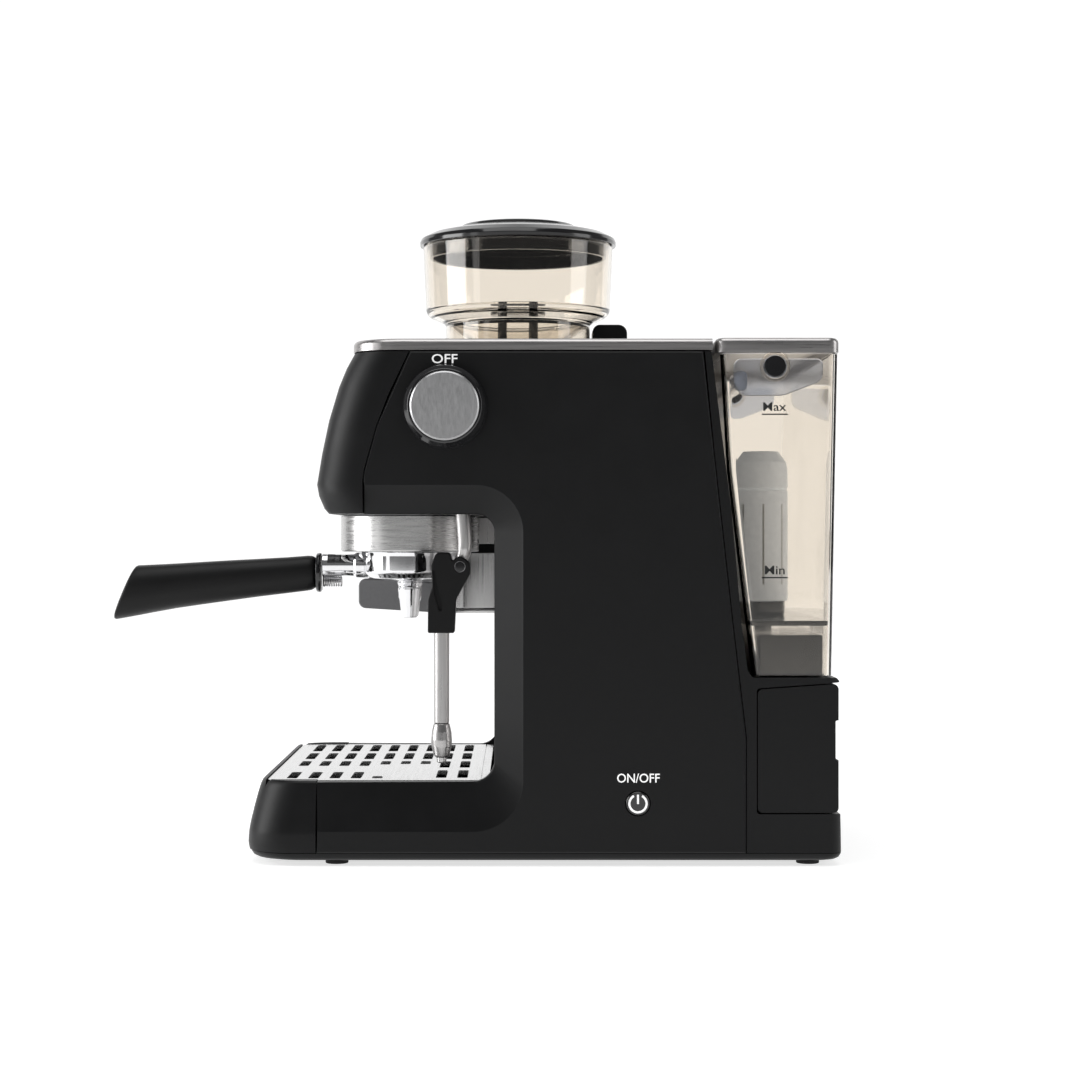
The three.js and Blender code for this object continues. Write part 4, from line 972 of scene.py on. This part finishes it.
for name, x in BUTTONS:
    middle = panel_point(x, 262)
    button = lathe(f"{name}_button_cap", [
        (0, -6), (9.4, -6), (9.4, 0.9, 0.9), (8.5, 1.7, 0.8), (0, 1.5),
    ], middle, PANEL_NORMAL, segments=88)
    finish_piece(button, STEEL_RING, "brushed_steel", name, f"{name}_button")
    face = middle + PANEL_NORMAL * 1.54
    if name == "one_cup":
        cup_mark("one_cup_mark", face, name)
    elif name == "two_cup":
        cup_mark("two_cup_mark_left", face - PANEL_U * 3.1, name)
        cup_mark("two_cup_mark_right", face + PANEL_U * 3.1, name)
    else:
        ring = flat_arc("grind_mark_ring", face, PANEL_U, PANEL_V, 3.0, 0.6, 0, 360, PRINT)
        slash = flat_bar("grind_mark_bar", face, PANEL_U, PANEL_V, 5.6, 0.6, PRINT, 50)
        finish_piece(ring, PRINT_BLACK, "black_plastic", name)
        finish_piece(slash, PRINT_BLACK, "black_plastic", name)


# ---------- bean hopper ----------

NECK_R = 49.5
RIM_Z = 397.5
grinder_at = (GRINDER.x, GRINDER.y, 0)
hopper = lathe("hopper_wall", [
    (47.2, 303), (NECK_R, 303), (NECK_R, 343.8, 1), (51.5, 345.8, 2), (58.6, 348.6, 3), (61.6, 350.4, 2.5),
    (63.1, 353.4, 2), (65.2, RIM_Z, 0.6), (63, RIM_Z, 0.4), (61, 354.6, 1.6), (58.8, 351.6, 2),
    (47.4, 347.2, 2),
], grinder_at, segments=144, closed=True)
finish_piece(hopper, CLEAR, "clear_plastic", "bean_hopper", "hopper")
funnel = lathe("hopper_funnel", [
    (20.4, 306), (22.4, 306), (22.4, 325.6, 2), (47.1, 342), (47.1, 345.2), (20.4, 327.4, 2),
], grinder_at, segments=112, closed=True)
finish_piece(funnel, CLEAR, "clear_plastic", "bean_hopper")
base_ring = lathe("hopper_base_ring", [
    (46.6, 303.2), (47.15, 303.2), (47.15, 316), (46.6, 316),
], grinder_at, segments=112, closed=True, radius=0)
finish_piece(base_ring, GLOSS, "gloss_black", "bean_hopper")
guard_cap = lathe("hopper_guard_cap", [
    (0, 352.5), (19, 352.5, 0.6), (19, 354.6, 0.8), (9, 356.6, 2), (0, 357),
], grinder_at, segments=80)
finish_piece(guard_cap, GLOSS, "gloss_black", "bean_hopper", "hopper_guard")
guard_ring = lathe("hopper_guard_ring", [(8, 318.2), (19.8, 318.2), (19.8, 323), (8, 323)], grinder_at,
                   segments=64, closed=True)
finish_piece(guard_ring, GLOSS, "gloss_black", "bean_hopper")
for k in range(4):
    turn = math.radians(45 + 90 * k)
    post = lathe(f"hopper_guard_post_{k}", [(0, 322), (3, 322), (3, 353.5), (0, 353.5)],
                 (GRINDER.x + 15 * math.cos(turn), GRINDER.y + 15 * math.sin(turn), 0), segments=28)
    finish_piece(post, GLOSS, "gloss_black", "bean_hopper")

lid = lathe("hopper_lid_shell", [
    (0, 409.2), (41, 407.8, 3), (54, 401.6, 3), (58.2, 399, 1), (58.2, 389.6), (60.6, 389.6, 0.5),
    (60.6, 398.3, 0.4), (67.2, 398.3, 0.4), (67.5, 400.6, 1), (66.6, 403, 1.6), (60, 406.4, 4),
    (46, 409.6, 4), (41, 410.4, 1.4), (38.6, 412.6, 2), (34, 413.6, 2), (12, 415.2, 4), (5.2, 415.5, 0.8),
    (4.2, 417.2, 0.8), (0, 417.5),
], grinder_at, segments=144)
finish_piece(lid, GLOSS, "gloss_black", "bean_lid", "hopper_lid")
lock = prism("hopper_lock_button", "x", [(50.4, 312, 1), (74, 312, 1), (74, 344, 6), (50.4, 344, 5)],
             GRINDER.x - 12, GRINDER.x + 12, steps=8)
bevel(lock, 1.4, 4, 40)
finish_piece(lock, BLACK, "black_plastic", "lock", "hopper_lock")
throat = lathe("grinder_throat", [
    (49.9, 300), (53.9, 300), (53.9, 318.6), (53.2, 319.6, 0.5), (50.6, 319.6, 0.5), (49.9, 318.8),
], grinder_at, segments=128, closed=True)
carve(throat, box_tool(GRINDER.x - 12.6, GRINDER.x + 12.6, 49.4, 80, 296, 330))
finish_piece(throat, GLOSS, "gloss_black", "machine")


# ---------- water tank ----------

TANK_HALF = 138.5
TANK_LEVELS = [(115, 140.8, 189), (239, 125.7, 191.3), (309, 121.6, 192.7)]


def tank_edge(z, column):
    upper = 2 if z > TANK_LEVELS[1][0] else 1
    low, high = TANK_LEVELS[upper - 1], TANK_LEVELS[upper]
    return low[column] + (high[column] - low[column]) * (z - low[0]) / (high[0] - low[0])


def tank_block(name, thin, z0, z1, round_bottom=0.0):
    heights = sorted({z0, *(h for h in (239, ) if z0 < h < z1), z1})
    rings = []
    for z in heights:
        corners = rectangle(-TANK_HALF + thin, TANK_HALF - thin, tank_edge(z, 1) + thin,
                            tank_edge(z, 2) - thin, 6 - thin)
        rings.append(flat_ring(corners, z, 8))
    if round_bottom:
        corners = rectangle(-TANK_HALF + thin + round_bottom, TANK_HALF - thin - round_bottom,
                            tank_edge(z0, 1) + thin + round_bottom, tank_edge(z0, 2) - thin - round_bottom,
                            max(6 - thin - round_bottom, 0.5))
        rings.insert(0, flat_ring(corners, z0, 8))
        rings[1] = [p + Vector((0, 0, round_bottom)) for p in rings[1]]
    return loft(name, rings, crease=30)


def pivot_hole(sign):
    return lathe("pivot_hole", [(0, 130 * sign), (7.1, 130 * sign), (7.1, 150 * sign), (0, 150 * sign)],
                 (0, 154.5, 301.5), (1, 0, 0), radius=0)


tank = tank_block("water_tank_wall", 0, 115, 309)
carve(tank, tank_block("water_room", 2.5, 108, 316), pivot_hole(1), pivot_hole(-1), crease=30)
finish_piece(tank, CLEAR, "clear_plastic", "tank", "water_tank")
tank_floor = tank_block("water_tank_floor", 2.55, 145, 148)
bevel(tank_floor, 0.5, 2)
finish_piece(tank_floor, GLOSS, "black_plastic", "tank")


def lid_ring(z, trim):
    half = HALF - 1.3 - trim
    return flat_ring(rectangle(-half, half, 118.6 + trim, 193.5 - trim, max(7 - trim, 1)), z, 8)


tank_lid = loft("tank_lid_metal", [lid_ring(z, trim) for z, trim in (
    (309.7, 0.5), (310.1, 0), (316.2, 0), (317.4, 0.35), (318.3, 1.1), (318.8, 2.0), (319.0, 3.2),
)], crease=35)
carve(tank_lid, box_tool(-134, 134, 123, 189, 300, 315.6), crease=35)
finish_piece(tank_lid, STEEL_Y, "brushed_steel", "tank_cover", "tank_lid")

ARM_SIDE = [
    (129.6, 306.5, 5), (129.6, 291, 6), (134.5, 283.6, 6), (160, 284, 16), (183.4, 293, 6), (184, 306.5, 4),
]
for name, sign in (("right", 1), ("left", -1)):
    arm = prism(f"tank_handle_arm_{name}", "x", ARM_SIDE, sign * 131.8, sign * 135.3, steps=10)
    bevel(arm, 0.7, 3, 50)
    finish_piece(arm, BLUE, "blue_plastic", "tank_bail")
    boss = lathe(f"tank_handle_boss_{name}", [
        (0, 133), (6.7, 133), (6.7, TANK_HALF + 0.3, 0.8), (0, TANK_HALF + 0.4),
    ], (0, 154.5, 301.5), (sign, 0, 0), segments=64)
    finish_piece(boss, GLOSS, "black_plastic", "tank_bail")
    seat_ring = lathe(f"tank_pivot_ring_{name}", [
        (7.2, TANK_HALF - 2.4), (9.2, TANK_HALF - 2.4), (9.2, TANK_HALF + 0.1, 0.4),
        (7.2, TANK_HALF + 0.1, 0.4),
    ], (0, 154.5, 301.5), (sign, 0, 0), segments=64, closed=True)
    finish_piece(seat_ring, CLEAR, "clear_plastic", "tank")
handle_bar = prism("tank_handle_bar", "x", rectangle(130, 138, 287, 299, 3), -133, 133, steps=8)
bevel(handle_bar, 0.5, 2)
finish_piece(handle_bar, BLUE, "blue_plastic", "tank_bail")
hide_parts("tank_handle")

seat = prism("tank_seat_block", "z", rectangle(-124, 124, 146, 185, 1.5), 114.1, 138.8, steps=6)
bevel(seat, 0.8, 2)
finish_piece(seat, GLOSS, "black_plastic", "machine", "tank_seat")
seat_post = lathe("tank_seat_post", [
    (0, 138), (9, 138), (9, 144, 1.2), (0, 144),
], (-60, 165, 0), segments=48)
finish_piece(seat_post, GLOSS, "black_plastic", "machine")
cartridge_at = (CARTRIDGE.x, CARTRIDGE.y, 0)
cartridge = lathe("filter_cartridge_body", [
    (0, 157), (17.4, 157, 1.5), (17.6, 160, 1), (17.6, 228.6, 0.5), (16.9, 229.2, 0.2), (16.9, 230, 0.2),
    (17.6, 230.6, 0.5), (17.5, 242, 3), (16.6, 247.5, 3), (13.2, 252, 3), (11.4, 254.4, 1), (0, 254.6),
], cartridge_at, segments=96)
finish_piece(cartridge, CARTRIDGE_BLUE_PAINTED_GLOW, "white_plastic", "tank", "filter_cartridge")
for k in range(8):
    turn = 2 * math.pi * k / 8
    u, v = (-math.sin(turn), math.cos(turn), 0), (0, 0, 1)
    middle = (CARTRIDGE.x + 17.55 * math.cos(turn), CARTRIDGE.y + 17.55 * math.sin(turn), 194)
    slit = flat_bar(f"cartridge_slit_{k}", middle, u, v, 1.2, 52, 0.12)
    finish_piece(slit, DIAL_WHITE, "white_plastic", "tank")
holder = lathe("cartridge_holder", [
    (0, 148.1), (15.2, 148.1, 0.8), (15.8, 150, 0.8), (15.8, 157.2), (0, 157.2),
], cartridge_at, segments=72)
finish_piece(holder, GLOSS, "black_plastic", "tank")


# ---------- printed labels ----------

def label(name, text, middle, height, width, material, slot, body, lift=PRINT):
    """Flat lettering on a side face that looks toward +X, `height` mm over its capitals."""
    curve = bpy.data.curves.new(name, "FONT")
    curve.body = text
    curve.resolution_u = 3
    curve.offset = 0.008
    writing = bpy.data.objects.new(name + "_curve", curve)
    bpy.context.scene.collection.objects.link(writing)
    bpy.context.view_layer.update()
    flat = bpy.data.meshes.new_from_object(writing.evaluated_get(bpy.context.evaluated_depsgraph_get()))
    bpy.data.objects.remove(writing)
    us = [vertex.co.x for vertex in flat.vertices]
    vs = [vertex.co.y for vertex in flat.vertices]
    u_mid, v_mid = (min(us) + max(us)) / 2, (min(vs) + max(vs)) / 2
    u_scale, v_scale = width / (max(us) - min(us)), height / (max(vs) - min(vs))
    points = [
        (middle[0], middle[1] + (v.co.x - u_mid) * u_scale, middle[2] + (v.co.y - v_mid) * v_scale)
        for v in flat.vertices
    ]
    faces = [tuple(polygon.vertices) for polygon in flat.polygons]
    print_piece = new_mesh(name, points, faces)
    solid = print_piece.modifiers.new("thick", "SOLIDIFY")
    solid.thickness = lift * MM
    solid.offset = 0
    apply_modifiers(print_piece)
    shade(print_piece, 30)
    return finish_piece(print_piece, material, slot, body)


face_x = HALF + 0.02
label("label_off", "OFF", (face_x, -44.8, 306), 5.6, 15.5, PRINT_WHITE_PAINTED_GLOW, "white_plastic", "machine")
label("label_on_off", "ON/OFF", (face_x, 71.9, 53.4), 5.5, 25.7, PRINT_WHITE_PAINTED_GLOW, "white_plastic", "machine")
tank_face = TANK_HALF + 0.03
for text, line_z, width in (("Max", 272.6, 14), ("Min", 174.1, 12)):
    label(f"label_{text.lower()}", text, (tank_face, 154.2, line_z + 4.6), 5.2, width, PRINT_BLACK,
          "black_plastic", "tank")
    line = flat_bar(f"label_{text.lower()}_line", (tank_face - 0.05, 154.2, line_z), Y_AXIS, Z_AXIS,
                    15.7, 0.8, PRINT)
    finish_piece(line, PRINT_BLACK, "black_plastic", "tank")


# ---------- floor, light and camera ----------

FLOOR_SIDE = 6.0
WALL_X = -2.4


def glowing_sheet(name, corners, color, roughness, strength):
    """A pale sheet, in metres, that gives an even light of its own."""
    sheet = bpy.data.meshes.new(name)
    sheet.from_pydata(corners, [], [(0, 1, 2, 3)])
    surface = start_material("pale_" + name, (color,) * 3, roughness)[0]
    glow(surface, (1, 1, 1), strength)
    sheet.materials.append(surface)
    placed = bpy.data.objects.new(name, sheet)
    bpy.context.scene.collection.objects.link(placed)
    return placed


floor = glowing_sheet("floor", [
    (-FLOOR_SIDE, -FLOOR_SIDE, 0), (FLOOR_SIDE, -FLOOR_SIDE, 0), (FLOOR_SIDE, FLOOR_SIDE, 0),
    (-FLOOR_SIDE, FLOOR_SIDE, 0),
], 0.6, 0.8, 0.7)
wall = glowing_sheet("white_wall", [
    (WALL_X, -3, -0.2), (WALL_X, 3, -0.2), (WALL_X, 3, 3), (WALL_X, -3, 3),
], 0.1, 0.9, 0.97)
bpy.context.scene.view_settings.view_transform = "Standard"

world = bpy.data.worlds.new("studio")
bpy.context.scene.world = world
world.use_nodes = True
backdrop = world.node_tree.nodes["Background"]
backdrop.inputs["Color"].default_value = (0.95, 0.96, 0.97, 1)
backdrop.inputs["Strength"].default_value = 0.16


def lamp(name, place, target, size, power):
    data = bpy.data.lights.new(name, "AREA")
    data.shape = "RECTANGLE"
    data.size, data.size_y = size
    data.energy = power
    light = bpy.data.objects.new(name, data)
    light.location = place
    light.rotation_euler = (Vector(target) - Vector(place)).to_track_quat("-Z", "Y").to_euler()
    bpy.context.scene.collection.objects.link(light)


middle = (0, 0, 0.2)
lamp("soft_top", (0.45, -0.1, 1.9), middle, (1.6, 1.6), 17)
lamp("soft_front", (0.25, -2.1, 0.7), middle, (1.2, 1.4), 30)
lamp("soft_corner", (1.3, -1.7, 0.7), middle, (0.35, 1.3), 1.6)
lamp("soft_rear", (0.3, 2.0, 0.8), middle, (0.9, 1.3), 8)

VIEW_DISTANCE = 1385.0  # mm from the right side face to the camera
SENSOR = 36.0
camera_data = bpy.data.cameras.new("camera")
camera_data.sensor_width = SENSOR
camera_data.lens = SENSOR * 2.1296296
camera_data.shift_x = 0.01944444
camera_data.shift_y = -0.00185185
camera_data.clip_start = 0.05
camera = bpy.data.objects.new("camera", camera_data)
camera.location = at(HALF + VIEW_DISTANCE, 0, 198)
camera.rotation_euler = (math.pi / 2, 0, math.pi / 2)
bpy.context.scene.collection.objects.link(camera)
bpy.context.scene.camera = camera
